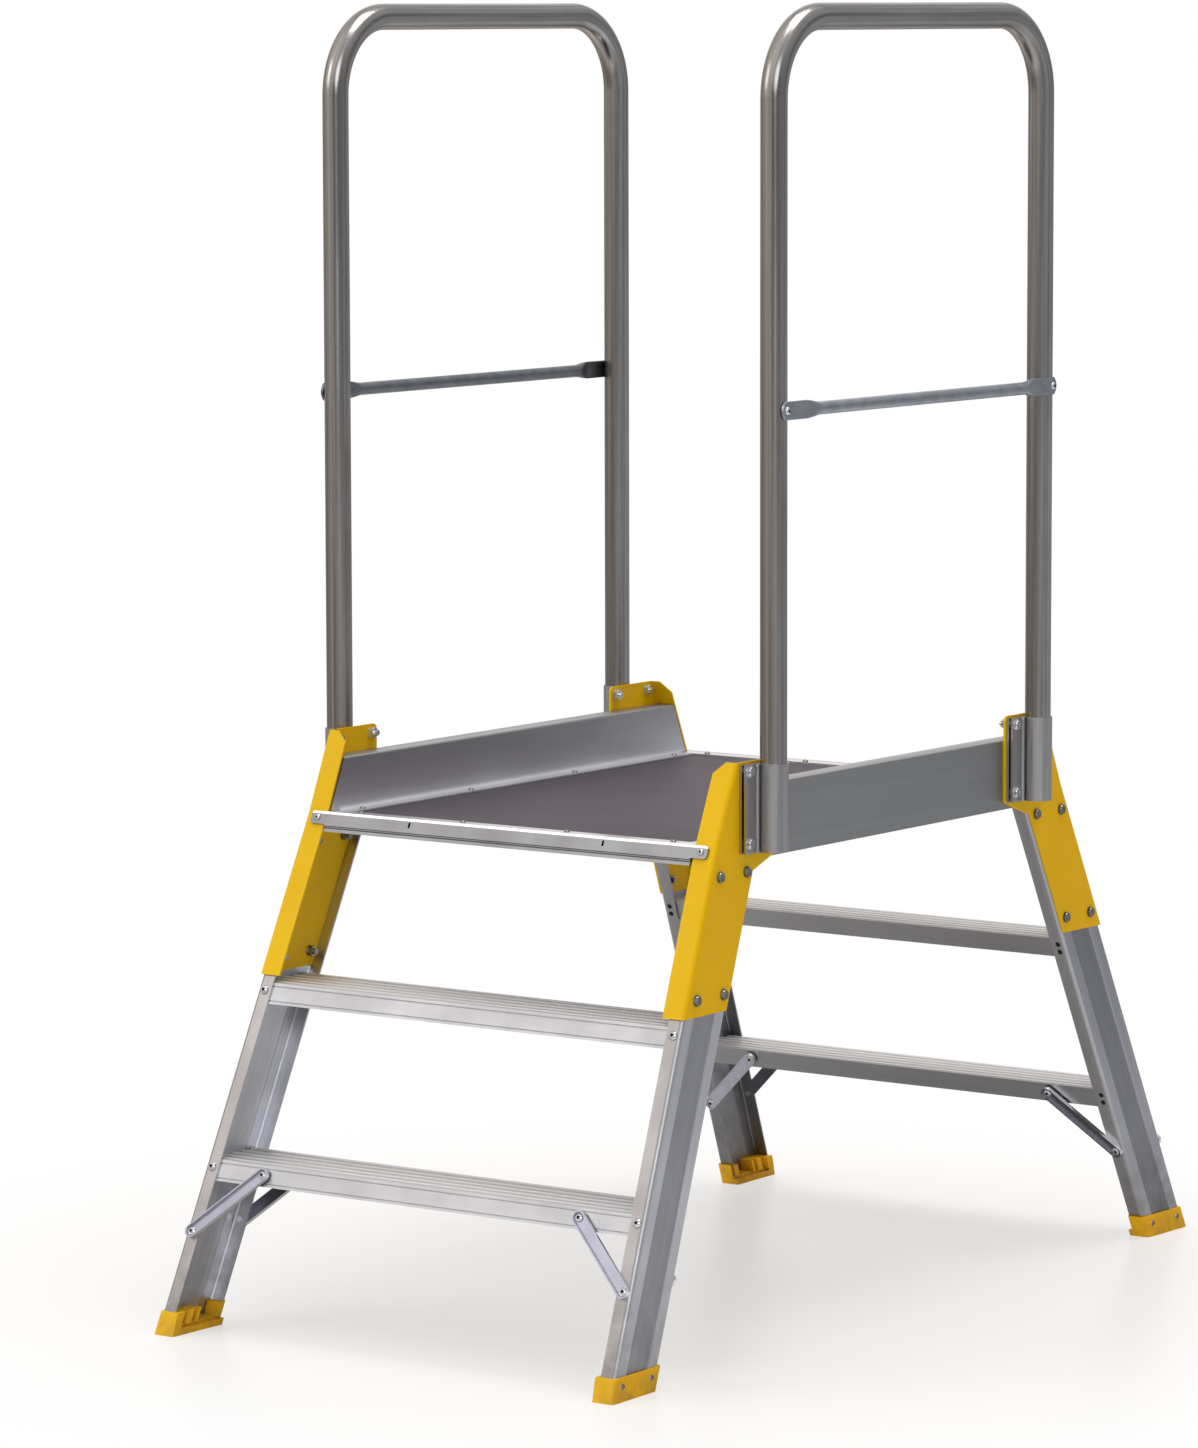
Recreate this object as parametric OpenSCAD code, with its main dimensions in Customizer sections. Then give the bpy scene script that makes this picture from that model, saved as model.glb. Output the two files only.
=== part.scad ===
// Podium step: a fixed work platform on two leaning ladder frames,
// with toe boards at the sides and a lift-out handrail over each side.
// Millimetres. X runs along the treads, the front frame is at -Y, Z is up.
// The origin lies on the floor under the middle of the deck.

/* [Platform] */
// Height of the walking surface above the floor
deck_height = 700; // [680:5:740]
// Depth over the two deck edges, front to back
deck_depth = 902; // [860:2:960]
// Width over the stiles at deck height
top_width = 691; // [650:1:740]
// Thickness of the plywood deck
deck_thickness = 18; // [12:1:20]

/* [Ladder frames] */
// Lean of each ladder frame from upright, in degrees
lean_angle = 23.5; // [21:0.5:26]
// Splay of each stile inside its frame, in degrees
splay_angle = 3; // [1:0.5:4]
// Depth of the stile channel, square to its frame
stile_depth = 95; // [88:1:104]
// Width of the stile flanges
stile_flange = 23; // [20:1:27]
// Wall thickness of the stile channel
stile_wall = 2.5; // [2:0.5:3]
// Radius of the stile's outer corners
stile_bend = 6; // [3:0.5:8]
// Depth of the shallow recess along the outer face of the stile
web_recess = 1.5; // [1:0.5:3]
// Width of the raised bands beside that recess
web_band = 24; // [18:1:30]

/* [Treads] */
// Rise from the upper tread to the deck; the two lower rises share the rest
top_rise = 228; // [220:1:250]
// Height of the tread face
tread_face = 30; // [27:1:36]
// Wall thickness of the tread extrusion
tread_wall = 2; // [1.5:0.5:3]
// Number of ridges along the top of a tread
tread_ridges = 5; // [3:1:6]
// Height of those ridges
ridge_height = 1.6; // [0.8:0.2:2]

/* [Knee braces] */
// Distance of the brace's upper rivet from its lower rivet, along the tread
brace_run = 97; // [80:1:115]
// Drop from the upper rivet to the lower one
brace_drop = 83; // [65:1:95]
// Width of the brace strip
brace_width = 19; // [17:1:22]
// Thickness of the brace strip
brace_wall = 2; // [1.5:0.5:3]
// Height of the lip round the brace
brace_lip = 4; // [2:0.5:6]

/* [Brackets] */
// Thickness of the bracket steel
bracket_wall = 3; // [2:0.5:4]
// Width of the bracket flange on the climbing side
bracket_flange = 35; // [33:1:40]
// Height of the bracket above the deck
bracket_rise = 111; // [108:1:130]
// Cut at the top corner of the bracket flange
bracket_chamfer = 17; // [8:1:22]
// Reach of the bracket ear past the handrail leg
ear_reach = 53; // [52:1:60]
// Gap between the upper tread and the bracket's lower edge
bracket_gap = 9; // [5:1:20]
// Distance between the two bolts of a bracket row
bolt_spread = 60; // [46:1:62]
// Thickness of the backing plate inside the stile
backing_wall = 3; // [2:0.5:4]

/* [Handrails] */
// Height of the handrail's top above the deck
rail_height = 1128; // [1000:1:1160]
// Diameter of the handrail tube
rail_d = 37; // [34:0.5:38]
// Wall thickness of the handrail tube
rail_wall = 2.5; // [1.5:0.5:3.5]
// Radius of the handrail bends on the tube's centre line
rail_bend = 110; // [80:1:140]
// Distance of a handrail leg's centre from the end of the deck
rail_inset = 111; // [106:1:130]
// Distance of the leg's centre from the outer face of its bracket
rail_offset = 22.2; // [21:0.1:24]
// Height of the mid rail above the deck
mid_height = 584; // [450:1:700]
// Diameter of the mid rail tube
mid_d = 18; // [16:0.5:22]
// Thickness of the flattened ends of the mid rail
mid_flat = 4; // [3:0.5:5]
// Length of the flattened ends, from the rivet to the pressed shoulder
mid_land = 46; // [30:1:60]

/* [Clamp sockets] */
// Height of a clamp socket
socket_height = 121; // [112:1:124]
// Wall of the socket round the tube
socket_wall = 2.2; // [1.8:0.1:3]
// Thickness of the socket's back plate
socket_back = 4.5; // [4:0.5:6]
// Thickness of the socket's clamping flange
socket_lug = 3; // [2.5:0.5:4.5]
// Width of the clamping slot
socket_slot = 3.5; // [2:0.5:4]
// Reach of the socket flanges from the tube's centre
socket_reach = 50; // [48:1:51]
// Distance of the clamp bolts from the tube's centre
clamp_spread = 40; // [36:1:41]
// Height of the ledge that the tube stands on
socket_ledge = 3; // [2:0.5:5]

/* [Deck edges] */
// How far the deck edge stands out past the stile's climbing face
nose_over = 10.6; // [9:0.1:14]
// Thickness of the deck edge's face
edge_wall = 3; // [2:0.5:4]
// Width of the deck edge's flanges on the panel
edge_flange = 17; // [14:1:26]
// Height of the deck edge's face
edge_face = 18; // [15:1:20]
// Radius of the deck edge's nose
edge_nose = 3; // [2:0.5:3.5]

/* [Toe boards] */
// Height of the toe board above the deck
toe_height = 76; // [60:1:100]
// Thickness of the toe board's walls
toe_wall = 2.5; // [2:0.5:3]
// Radius of the toe board's upper corners
toe_bend = 3; // [2:0.5:3.5]
// Width of the toe board's foot on the deck
toe_foot = 25; // [20:1:32]
// Radius between the toe board's inner wall and its foot
toe_fillet = 8; // [4:0.5:9]

/* [Feet] */
// Height of a foot
foot_height = 32; // [28:1:40]
// Wall thickness of a foot
foot_wall = 3.5; // [2.5:0.5:5]
// Thickness of a foot's sole
foot_sole = 14; // [10:1:16]

/* [Fasteners] */
// Thread diameter of the bracket and clamp bolts
bolt_d = 8; // [7:0.5:8.5]
// Shank diameter of the large rivets
rivet_d = 6; // [5:0.5:6.5]
// Shank diameter of the small rivets and of the screws
small_d = 4; // [3:0.5:4.5]
// Clearance of a bolt, rivet or screw in its hole, on the diameter
hole_clear = 0.4; // [0.2:0.1:0.6]
// Running clearance of the handrail leg in its socket, on the radius
slide_clear = 0.08; // [0.04:0.01:0.1]
// Gap left between pieces that pass each other
part_gap = 1; // [0.6:0.2:2]

/* [Hidden] */
$fn = 48;

// Lean of the frames
lean_tan = tan(lean_angle);
lean_cos = cos(lean_angle);
lean_sin = sin(lean_angle);
half_top = top_width / 2;
face_y = deck_depth / 2 - nose_over;
floor_y = face_y + deck_height * lean_tan;
deck_v = deck_height / lean_cos;
// Y of a plane that lies m inside the climbing face, at height z
function plane_y(m, z) = -floor_y + z * lean_tan + m / lean_cos;
// Slope length in the frame at height z and depth m
function slope(z, m) = (z + m * lean_sin) / lean_cos;
// X of a stile's outer corner at slope length v
function outer_x(v) = half_top + (deck_v - v) * tan(splay_angle);

// Heights
upper_tread = deck_height - top_rise;
lower_tread = upper_tread / 2;
deck_under = deck_height - deck_thickness;
edge_bottom = deck_under - edge_wall - 3;
stile_top = edge_bottom - part_gap;
bracket_top = deck_height + bracket_rise;
bracket_bottom = upper_tread + bracket_gap;
upper_row = stile_top - 14;
lower_row = bracket_bottom + 22;
tread_rivet_drop = tread_face * 0.38;
big = 2000;

// Fasteners
bolt_hole = bolt_d + hole_clear;
rivet_hole = rivet_d + hole_clear;
small_hole = small_d + hole_clear;
bolt_flats = bolt_d * 1.62;
bolt_head = bolt_d * 0.6;
collar_d = bolt_d * 2;
collar_h = bolt_d * 0.16;
nut_h = bolt_d * 0.95;
bolt_tail = nut_h + bolt_d * 0.6;

// Handrail
rail_r = rail_d / 2;
rail_x = half_top + bracket_wall + rail_offset;
rail_y = deck_depth / 2 - rail_inset;
rail_span = 2 * rail_y;
rail_top = deck_height + rail_height - rail_r;
mid_z = deck_height + mid_height;
mid_x = rail_x + rail_r + mid_flat / 2;
mid_flat_h = mid_d * 1.4;
bore_r = rail_r + slide_clear;
socket_r = bore_r + socket_wall;
socket_top = bracket_top - 3;
socket_bottom = socket_top - socket_height;
clamp_high = socket_top - collar_d / 2 - part_gap;
clamp_low = socket_bottom + 14;
leg_foot = socket_bottom + socket_ledge;

// Cross sections inside the stile
bend_in = 2.5;
web_in = web_recess + stile_wall;
bolt_m = [stile_depth / 2 - bolt_spread / 2, stile_depth / 2 + bolt_spread / 2];
flange_mid = -stile_flange / 2;

// Colours
silver = [0.76, 0.77, 0.79];
grey = [0.62, 0.62, 0.63];
zinc = [0.55, 0.58, 0.62];
yellow = [0.92, 0.74, 0.10];
ochre = [0.80, 0.60, 0.12];
plum = [0.30, 0.25, 0.28];
bright = [0.85, 0.86, 0.88];

// One of the four corners; the shape is drawn for the front right one
module corner(sx, sy) {
    if (sx > 0 && sy < 0) children();
    else if (sx < 0 && sy < 0) mirror([1, 0, 0]) children();
    else if (sx > 0) mirror([0, 1, 0]) children();
    else rotate([0, 0, 180]) children();
}

// The front frame, with X along the treads, Y into the frame, Z up the slope
module in_frame() {
    translate([0, -floor_y, 0])
        rotate([-lean_angle, 0, 0])
            children();
}

// The front right stile, with its outer climbing corner on the Z axis
module in_stile() {
    in_frame()
        translate([half_top, 0, deck_v])
            rotate([0, -splay_angle, 0])
                children();
}

// Along the front right stile, at height z of its climbing face
module at_height(z, m) {
    in_stile()
        translate([0, 0, (slope(z, m) - deck_v) / cos(splay_angle)])
            children();
}

// A flat layer of the world between two heights
module layer(low, high) {
    translate([-big, -big, low])
        cube([2 * big, 2 * big, high - low]);
}

// A corner to be taken off by a radius
module corner_cut(r) {
    difference() {
        translate([-1, -1])
            square(r + 1);
        translate([r, r])
            circle(r);
    }
}

// A strip with round ends from the origin along X
module strip(length, width) {
    translate([0, -width / 2])
        square([length, width]);
    circle(d = width);
    translate([length, 0])
        circle(d = width);
}

// A domed head standing on the XY plane
module dome(d, h) {
    ball = (d * d / 4 + h * h) / (2 * h);
    rotate_extrude()
        intersection() {
            translate([0, h - ball])
                circle(ball);
            square([d / 2, h]);
        }
}

// A rivet with its head up at the origin and its grip below
module rivet(d, head, grip) {
    dome(head, head * 0.26);
    translate([0, 0, -grip])
        cylinder(d = d, h = grip + 0.1);
    translate([0, 0, -grip - d * 0.35])
        cylinder(d = d * 1.45, h = d * 0.35);
}

// A six-sided bolt with its head up at the origin
module bolt(grip) {
    difference() {
        cylinder(d = bolt_flats / cos(30), h = bolt_head, $fn = 6);
        translate([0, 0, bolt_head])
            rotate_extrude()
                translate([bolt_flats / 2 - 0.3, 0])
                    rotate(-60)
                        square([2, 2]);
    }
    cylinder(d = collar_d, h = collar_h);
    translate([0, 0, -grip])
        cylinder(d = bolt_d, h = grip + 0.1);
}

// A six-sided nut with a collar, standing on the XY plane
module nut() {
    difference() {
        union() {
            cylinder(d = bolt_flats / cos(30), h = nut_h, $fn = 6);
            cylinder(d = collar_d, h = collar_h);
        }
        translate([0, 0, -1])
            cylinder(d = bolt_d + hole_clear / 2, h = nut_h + 2);
    }
}

// A button-head screw with a socket in its head
module button(d, grip) {
    difference() {
        dome(d * 2.2, d * 0.62);
        translate([0, 0, d * 0.25])
            cylinder(d = d * 0.8, h = d, $fn = 6);
    }
    translate([0, 0, -grip])
        cylinder(d = d, h = grip + 0.1);
}

// Stiles

module stile_section() {
    slant = web_recess * 2;
    far = stile_depth;
    difference() {
        stile_outline(stile_flange);
        translate([-stile_flange - 1, stile_wall])
            square([stile_flange + 1 - stile_wall, far - 2 * stile_wall]);
        web_trough(slant, 0);
    }
    // thickened inner corners
    for (m = [stile_wall, far - stile_wall])
        intersection() {
            stile_outline(stile_flange);
            translate([-stile_wall, m])
                rotate(45)
                    square(web_recess * 1.2, center = true);
        }
    intersection() {
        translate([-web_in - slant, stile_wall / 2])
            square([web_in + slant, far - stile_wall]);
        difference() {
            web_trough(slant, stile_wall);
            web_trough(slant, 0);
        }
    }
}

// Outside of the stile, with its two rounded corners
module stile_outline(wide) {
    difference() {
        translate([-wide, 0])
            square([wide, stile_depth]);
        mirror([1, 0])
            corner_cut(stile_bend);
        translate([0, stile_depth])
            mirror([0, 1])
                mirror([1, 0])
                    corner_cut(stile_bend);
    }
}

// The recess in the outer face, made deeper by inner
module web_trough(slant, inner) {
    polygon([
        [1, web_band - inner * 0.6],
        [-inner, web_band - inner * 0.6],
        [-web_recess - inner, web_band - inner * 0.6 + slant],
        [-web_recess - inner, stile_depth - web_band + inner * 0.6 - slant],
        [-inner, stile_depth - web_band + inner * 0.6],
        [1, stile_depth - web_band + inner * 0.6]
    ]);
}

// Rivet and bolt holes are bored through one flange or the web only
module stile_body() {
    difference() {
        intersection() {
            in_stile()
                translate([0, 0, -1.5 * deck_v])
                    linear_extrude(2 * deck_v)
                        stile_section();
            layer(foot_sole, stile_top);
        }
        for (top = [lower_tread, upper_tread]) {
            at_height(top - tread_rivet_drop, 0)
                translate([flange_mid, stile_wall / 2, 0])
                    rotate([90, 0, 0])
                        cylinder(d = rivet_hole, h = stile_wall * 2, center = true);
            for (drop = pin_drops())
                at_height(top - drop, stile_depth)
                    translate([flange_mid, stile_depth - stile_wall / 2, 0])
                        rotate([90, 0, 0])
                            cylinder(d = small_hole, h = stile_wall * 2, center = true);
        }
        for (way = [-1, 1])
            brace_plane(way)
                translate([brace_length(), 0, 0])
                    cylinder(d = rivet_hole, h = stile_wall * 3, center = true);
        for (z = [upper_row, lower_row], m = bolt_m)
            at_height(z, m)
                translate([-web_in, m, 0])
                    rotate([0, 90, 0])
                        cylinder(d = bolt_hole, h = 4 * web_in, center = true);
        foot_screw_places()
            cylinder(d = small_hole, h = 6 * stile_wall, center = true);
    }
}

// Drops of the two small rivets at each tread end below the tread's top
function pin_drops() = [tread_face * 0.33, tread_face * 0.72];

module front_left_stile() color(silver) corner(-1, -1) stile_body();
module front_right_stile() color(silver) corner(1, -1) stile_body();
module rear_left_stile() color(grey) corner(-1, 1) stile_body();
module rear_right_stile() color(grey) corner(1, 1) stile_body();

// Treads

// Section with the climbing face and the far face along the lean
module tread_section(top) {
    skin = top - ridge_height;
    low = top - tread_face;
    front = plane_y(stile_wall, skin);
    run = plane_y(stile_depth - stile_wall, skin) - front;
    pitch = run / tread_ridges;
    ball = 4 * ridge_height;
    difference() {
        tread_outline(top, low, 0);
        difference() {
            tread_outline(skin - tread_wall, low + tread_wall, tread_wall);
            for (part = [1 / 3, 2 / 3])
                tread_rib(part, skin, low);
        }
        // valleys between the round ridges
        difference() {
            translate([front - pitch, skin])
                square([run + 2 * pitch, 2 * ridge_height]);
            for (i = [0:tread_ridges - 1])
                translate([front + (i + 0.5) * pitch, top - ball])
                    circle(ball);
        }
        // grooves along the face
        for (z = [skin - 5, low + 4])
            translate([plane_y(stile_wall, z), z])
                circle(d = 1.6);
    }
}

module tread_outline(high, low, inset) {
    near = stile_wall + inset;
    far = stile_depth - stile_wall - inset;
    polygon([
        [plane_y(near, high), high],
        [plane_y(far, high), high],
        [plane_y(far, low), low],
        [plane_y(near, low), low]
    ]);
}

module tread_rib(part, high, low) {
    m = stile_wall + part * (stile_depth - 2 * stile_wall);
    half = tread_wall / 2;
    polygon([
        [plane_y(m - half, high), high],
        [plane_y(m + half, high), high],
        [plane_y(m + half, low), low],
        [plane_y(m - half, low), low]
    ]);
}

module tread_body(top) {
    difference() {
        intersection() {
            translate([-big / 2, 0, 0])
                rotate([90, 0, 90])
                    linear_extrude(big)
                        tread_section(top);
            between_stiles();
        }
        for (sx = [-1, 1]) {
            corner(sx, -1)
                at_height(top - tread_rivet_drop, 0)
                    translate([flange_mid, stile_wall + tread_wall / 2, 0])
                        rotate([90, 0, 0])
                            cylinder(d = rivet_hole, h = 2 * tread_wall, center = true);
            for (drop = pin_drops())
                corner(sx, -1)
                    at_height(top - drop, stile_depth)
                        translate([flange_mid, stile_depth - stile_wall - tread_wall / 2, 0])
                            rotate([90, 0, 0])
                                cylinder(d = small_hole, h = 2 * tread_wall, center = true);
            if (top == lower_tread)
                for (way = [-1, 1])
                    corner(sx, -1)
                        brace_plane(way)
                            cylinder(d = rivet_hole, h = 4 * (stile_wall + tread_wall), center = true);
        }
    }
}

// The room between the webs of the two front stiles
module between_stiles() {
    intersection_for (sx = [-1, 1])
        corner(sx, -1)
            in_stile()
                translate([-web_in - big, -big / 2, -big])
                    cube([big, big, 2 * big]);
}

module front_upper_tread() color(silver) tread_body(upper_tread);
module front_lower_tread() color(silver) tread_body(lower_tread);
module rear_upper_tread() color(grey) rotate([0, 0, 180]) tread_body(upper_tread);
module rear_lower_tread() color(grey) rotate([0, 0, 180]) tread_body(lower_tread);

// Knee braces

brace_high = lower_tread - tread_face / 2;
brace_low = brace_high - brace_drop;
brace_rise = brace_drop / lean_cos;
// Depth of the face that a brace lies on: way is -1 for the climbing side, 1 for the other
function brace_m(way) = way < 0 ? 0 : stile_depth;
function brace_length() = sqrt(brace_run * brace_run + brace_rise * brace_rise);

// Plane of a brace: X from the upper rivet to the lower one, Z away from the frame
module brace_plane(way) {
    turn = atan2(brace_rise, brace_run);
    low_x = outer_x(slope(brace_low, brace_m(way))) + flange_mid;
    in_frame()
        translate([low_x - brace_run, brace_m(way), slope(brace_high, brace_m(way))])
            rotate([way < 0 ? 90 : -90, 0, 0])
                rotate([0, 0, way < 0 ? -turn : turn])
                    children();
}

// Tray-shaped strip that stands out from the face of the frame
module brace_body(way) {
    difference() {
        brace_plane(way) {
            difference() {
                linear_extrude(brace_wall + brace_lip)
                    strip(brace_length(), brace_width);
                translate([0, 0, brace_wall])
                    linear_extrude(brace_lip + 1)
                        strip(brace_length(), brace_width - 2 * brace_wall);
            }
            // pressed pad that reaches the tread wall
            translate([0, 0, -stile_wall])
                cylinder(d = brace_width * 0.62, h = stile_wall + brace_wall / 2);
        }
        brace_plane(way) {
            cylinder(d = rivet_hole, h = 4 * (brace_wall + stile_wall), center = true);
            translate([brace_length(), 0, 0])
                cylinder(d = rivet_hole, h = 4 * brace_wall, center = true);
        }
    }
}

module front_left_outer_brace() color(silver) corner(-1, -1) brace_body(-1);
module front_left_inner_brace() color(grey) corner(-1, -1) brace_body(1);
module front_right_outer_brace() color(silver) corner(1, -1) brace_body(-1);
module front_right_inner_brace() color(grey) corner(1, -1) brace_body(1);
module rear_left_outer_brace() color(grey) corner(-1, 1) brace_body(-1);
module rear_left_inner_brace() color(grey) corner(-1, 1) brace_body(1);
module rear_right_outer_brace() color(grey) corner(1, 1) brace_body(-1);
module rear_right_inner_brace() color(grey) corner(1, 1) brace_body(1);

// Feet

foot_in = 6.5;
foot_rim = foot_height * 0.28;
// Turn of the foot's climbing face towards upright, in degrees
foot_steep = 7;
// Overlap of the open inner side with the room for the stile
foot_lap = 0.5;
// Depth by which the steeper climbing face also skims the top of the foot
foot_skim = 0.3;
module foot_section() {
    r = stile_bend + foot_wall / 2;
    deep = stile_depth + 2 * foot_wall;
    wide = stile_flange + foot_wall + foot_in;
    translate([foot_wall - wide, -foot_wall])
        difference() {
            square([wide, deep]);
            translate([wide, 0])
                mirror([1, 0])
                    corner_cut(r);
            translate([wide, deep])
                mirror([1, 0])
                    mirror([0, 1])
                        corner_cut(r);
            corner_cut(1.5);
            translate([0, deep])
                mirror([0, 1])
                    corner_cut(1.5);
        }
}

module along_stile(low, high) {
    at_height(0, 0)
        translate([0, 0, low])
            linear_extrude(high - low)
                children();
}

module foot_body() {
    reach = 2 * foot_height + stile_depth;
    inner = stile_flange + foot_in;
    front_block = stile_depth * 0.13;
    plug_end = stile_depth * 0.5;
    rear_block = stile_depth * 0.88;
    difference() {
        union() {
            difference() {
                intersection() {
                    along_stile(-reach, 2 * reach)
                        foot_section();
                    layer(0, foot_height);
                }
                // room for the stile, open to the inner side above the rim
                intersection() {
                    along_stile(-reach, 2 * reach)
                        stile_outline(stile_flange);
                    layer(foot_sole, foot_height + 1);
                }
                // steeper face on the climbing side
                translate([0, plane_y(foot_skim - foot_wall, foot_height), foot_height])
                    rotate([foot_steep - lean_angle, 0, 0])
                        translate([-big / 2, -big, -big])
                            cube([big, big, 2 * big]);
                intersection() {
                    along_stile(-reach, 2 * reach)
                        translate([-inner - 1, front_block])
                            square([foot_in + 1 + foot_lap, stile_depth]);
                    layer(foot_rim, foot_height + 1);
                }
            }
            // plug inside the channel
            intersection() {
                along_stile(-reach, 2 * reach)
                    difference() {
                        translate([-stile_flange - foot_in / 2, stile_wall])
                            square([stile_flange + foot_in / 2 - web_in, plug_end - stile_wall]);
                        for (part = [0.3, 0.72])
                            translate([-stile_flange - foot_in, plug_end * part])
                                square([stile_flange * 0.55, plug_end * 0.18]);
                    }
                layer(foot_sole - 1, foot_height);
            }
            // rear post inside the channel
            intersection() {
                along_stile(-reach, 2 * reach)
                    translate([-stile_flange - foot_in / 2, rear_block])
                        square([stile_flange + foot_in / 2 - web_in, stile_depth - stile_wall - rear_block]);
                layer(foot_sole - 1, foot_height);
            }
        }
        foot_screw_places()
            cylinder(d = small_hole, h = 80, center = true);
    }
}

// The two screws through the outer wall of a foot, with Z pointing outward
module foot_screw_places() {
    for (part = [0.17, 0.83])
        at_height(foot_height * 0.62, stile_depth * part)
            translate([0, stile_depth * part, 0])
                rotate([0, 90, 0])
                    children();
}

module front_left_foot() color(yellow) corner(-1, -1) foot_body();
module front_right_foot() color(yellow) corner(1, -1) foot_body();
module rear_left_foot() color(yellow) corner(-1, 1) foot_body();
module rear_right_foot() color(yellow) corner(1, 1) foot_body();

// Brackets

// Half length of the press fold at deck height, and its radius
fold_run = 1;
fold_r = fold_run / tan(splay_angle / 2);
// Folded section: plate on the stile's outer face, flange on its climbing face
module bracket_section(deep) {
    out = bend_in + bracket_wall;
    difference() {
        translate([bracket_wall - bracket_flange, -bracket_wall])
            square([bracket_flange, deep + bracket_wall]);
        difference() {
            translate([-bracket_flange - 1, 0])
                square([bracket_flange + 1, deep + 1]);
            mirror([1, 0])
                corner_cut(bend_in);
        }
        translate([bracket_wall, -bracket_wall])
            mirror([1, 0])
                corner_cut(out);
    }
}

// Side outline in Y and Z
module bracket_outline() {
    heel = bracket_bottom - 1;
    ear_y = -rail_y + ear_reach;
    ear_low = socket_bottom - 1;
    web_edge = stile_depth - 3;
    chamfer_low = ear_low - (ear_y - plane_y(web_edge, ear_low)) * 0.42;
    r = 8;
    difference() {
        polygon([
            [plane_y(-20, bracket_bottom), bracket_bottom],
            [plane_y(web_edge, bracket_bottom), bracket_bottom],
            [plane_y(web_edge, chamfer_low), chamfer_low],
            [ear_y, ear_low],
            [ear_y, bracket_top],
            [plane_y(-20, bracket_top), bracket_top]
        ]);
        translate([ear_y, bracket_top])
            rotate(180)
                corner_cut(r);
    }
}

// Folded sheet: upright above the deck, a press fold, then along the stile
module bracket_sheet(deep) {
    in_frame()
        translate([half_top, 0, deck_v]) {
            translate([0, 0, fold_run])
                linear_extrude(deck_v)
                    bracket_section(deep);
            translate([fold_r, 0, fold_run])
                mirror([1, 0, 0])
                    rotate([-90, 0, 0])
                        rotate_extrude(angle = splay_angle)
                            translate([fold_r, 0])
                                mirror([1, 0])
                                    bracket_section(deep);
            rotate([0, -splay_angle, 0])
                translate([0, 0, -fold_run])
                    mirror([0, 0, 1])
                        linear_extrude(deck_v)
                            bracket_section(deep);
        }
}

module bracket_body() {
    deep = 2 * stile_depth + ear_reach;
    free_x = half_top + bracket_wall - bracket_flange;
    difference() {
        intersection() {
            bracket_sheet(deep);
            translate([-big / 2, 0, 0])
                rotate([90, 0, 90])
                    linear_extrude(big)
                        bracket_outline();
        }
        // cut corner of the flange
        translate([free_x, 0, bracket_top])
            rotate([90, 0, 0])
                linear_extrude(big, center = true)
                    polygon([
                        [-big / 100, 1],
                        [bracket_chamfer, 1],
                        [bracket_chamfer, 0],
                        [0, -bracket_chamfer * 0.9],
                        [-big / 100, -bracket_chamfer * 0.9]
                    ]);
        for (z = [upper_row, lower_row], m = bolt_m)
            at_height(z, m)
                translate([0, m, 0])
                    rotate([0, 90, 0])
                        cylinder(d = bolt_hole, h = 4 * bracket_wall, center = true);
        for (z = [clamp_low, clamp_high], y = [-clamp_spread, clamp_spread])
            translate([half_top, -rail_y + y, z])
                rotate([0, 90, 0])
                    cylinder(d = bolt_hole, h = 4 * bracket_wall, center = true);
        edge_screw_place()
            cylinder(d = small_hole, h = 8 * bracket_wall, center = true);
    }
}

module front_left_bracket() color(yellow) corner(-1, -1) bracket_body();
module front_right_bracket() color(yellow) corner(1, -1) bracket_body();
module rear_left_bracket() color(yellow) corner(-1, 1) bracket_body();
module rear_right_bracket() color(yellow) corner(1, 1) bracket_body();

// Backing plates inside the stiles

module backing_body() {
    side = stile_wall + 0.5;
    difference() {
        intersection() {
            in_stile()
                translate([-web_in - backing_wall, side, -deck_v])
                    cube([backing_wall, stile_depth - 2 * side, deck_v]);
            layer(bracket_bottom + part_gap, stile_top - part_gap);
        }
        for (z = [upper_row, lower_row], m = bolt_m)
            at_height(z, m)
                translate([-web_in, m, 0])
                    rotate([0, 90, 0])
                        cylinder(d = bolt_hole, h = 4 * backing_wall, center = true);
    }
}

module front_left_backing() color(ochre) corner(-1, -1) backing_body();
module front_right_backing() color(ochre) corner(1, -1) backing_body();
module rear_left_backing() color(ochre) corner(-1, 1) backing_body();
module rear_right_backing() color(ochre) corner(1, 1) backing_body();

// Clamp sockets

// Plan of the clamp: back plate, slotted lug and ring round the tube
module socket_section() {
    lug_x = -rail_offset + socket_back + socket_slot;
    fillet = 3;
    difference() {
        union() {
            translate([-rail_offset, -socket_reach])
                square([socket_back, 2 * socket_reach]);
            translate([lug_x, -socket_reach])
                square([socket_lug, socket_reach]);
            circle(socket_r);
            translate([-rail_offset, 0])
                square([rail_offset - bore_r / 2, socket_r]);
            // swelling where the lug meets the ring
            translate([lug_x + socket_lug, -socket_r - fillet / 2])
                circle(fillet);
        }
        translate([-rail_offset + socket_back, -socket_reach - 1])
            square([socket_slot, socket_reach + 1]);
    }
}

module socket_body() {
    difference() {
        translate([0, 0, socket_bottom])
            linear_extrude(socket_height)
                socket_section();
        translate([0, 0, leg_foot])
            cylinder(r = bore_r, h = socket_height);
        translate([0, 0, socket_bottom - 1])
            cylinder(r = rail_r - rail_wall, h = socket_height);
        for (z = [clamp_low, clamp_high], y = [-clamp_spread, clamp_spread])
            translate([-rail_offset, y, z])
                rotate([0, 90, 0])
                    cylinder(d = bolt_hole, h = 2.6 * (socket_back + socket_slot + socket_lug), center = true);
    }
}

// The two sockets of a side face the same way
module socket_at(sx, sy) {
    translate([sx * rail_x, sy * rail_y, 0])
        rotate([0, 0, sx > 0 ? 0 : 180])
            children();
}

module front_left_socket() color(grey) socket_at(-1, -1) socket_body();
module front_right_socket() color(grey) socket_at(1, -1) socket_body();
module rear_left_socket() color(grey) socket_at(-1, 1) socket_body();
module rear_right_socket() color(grey) socket_at(1, 1) socket_body();

// Deck

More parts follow.
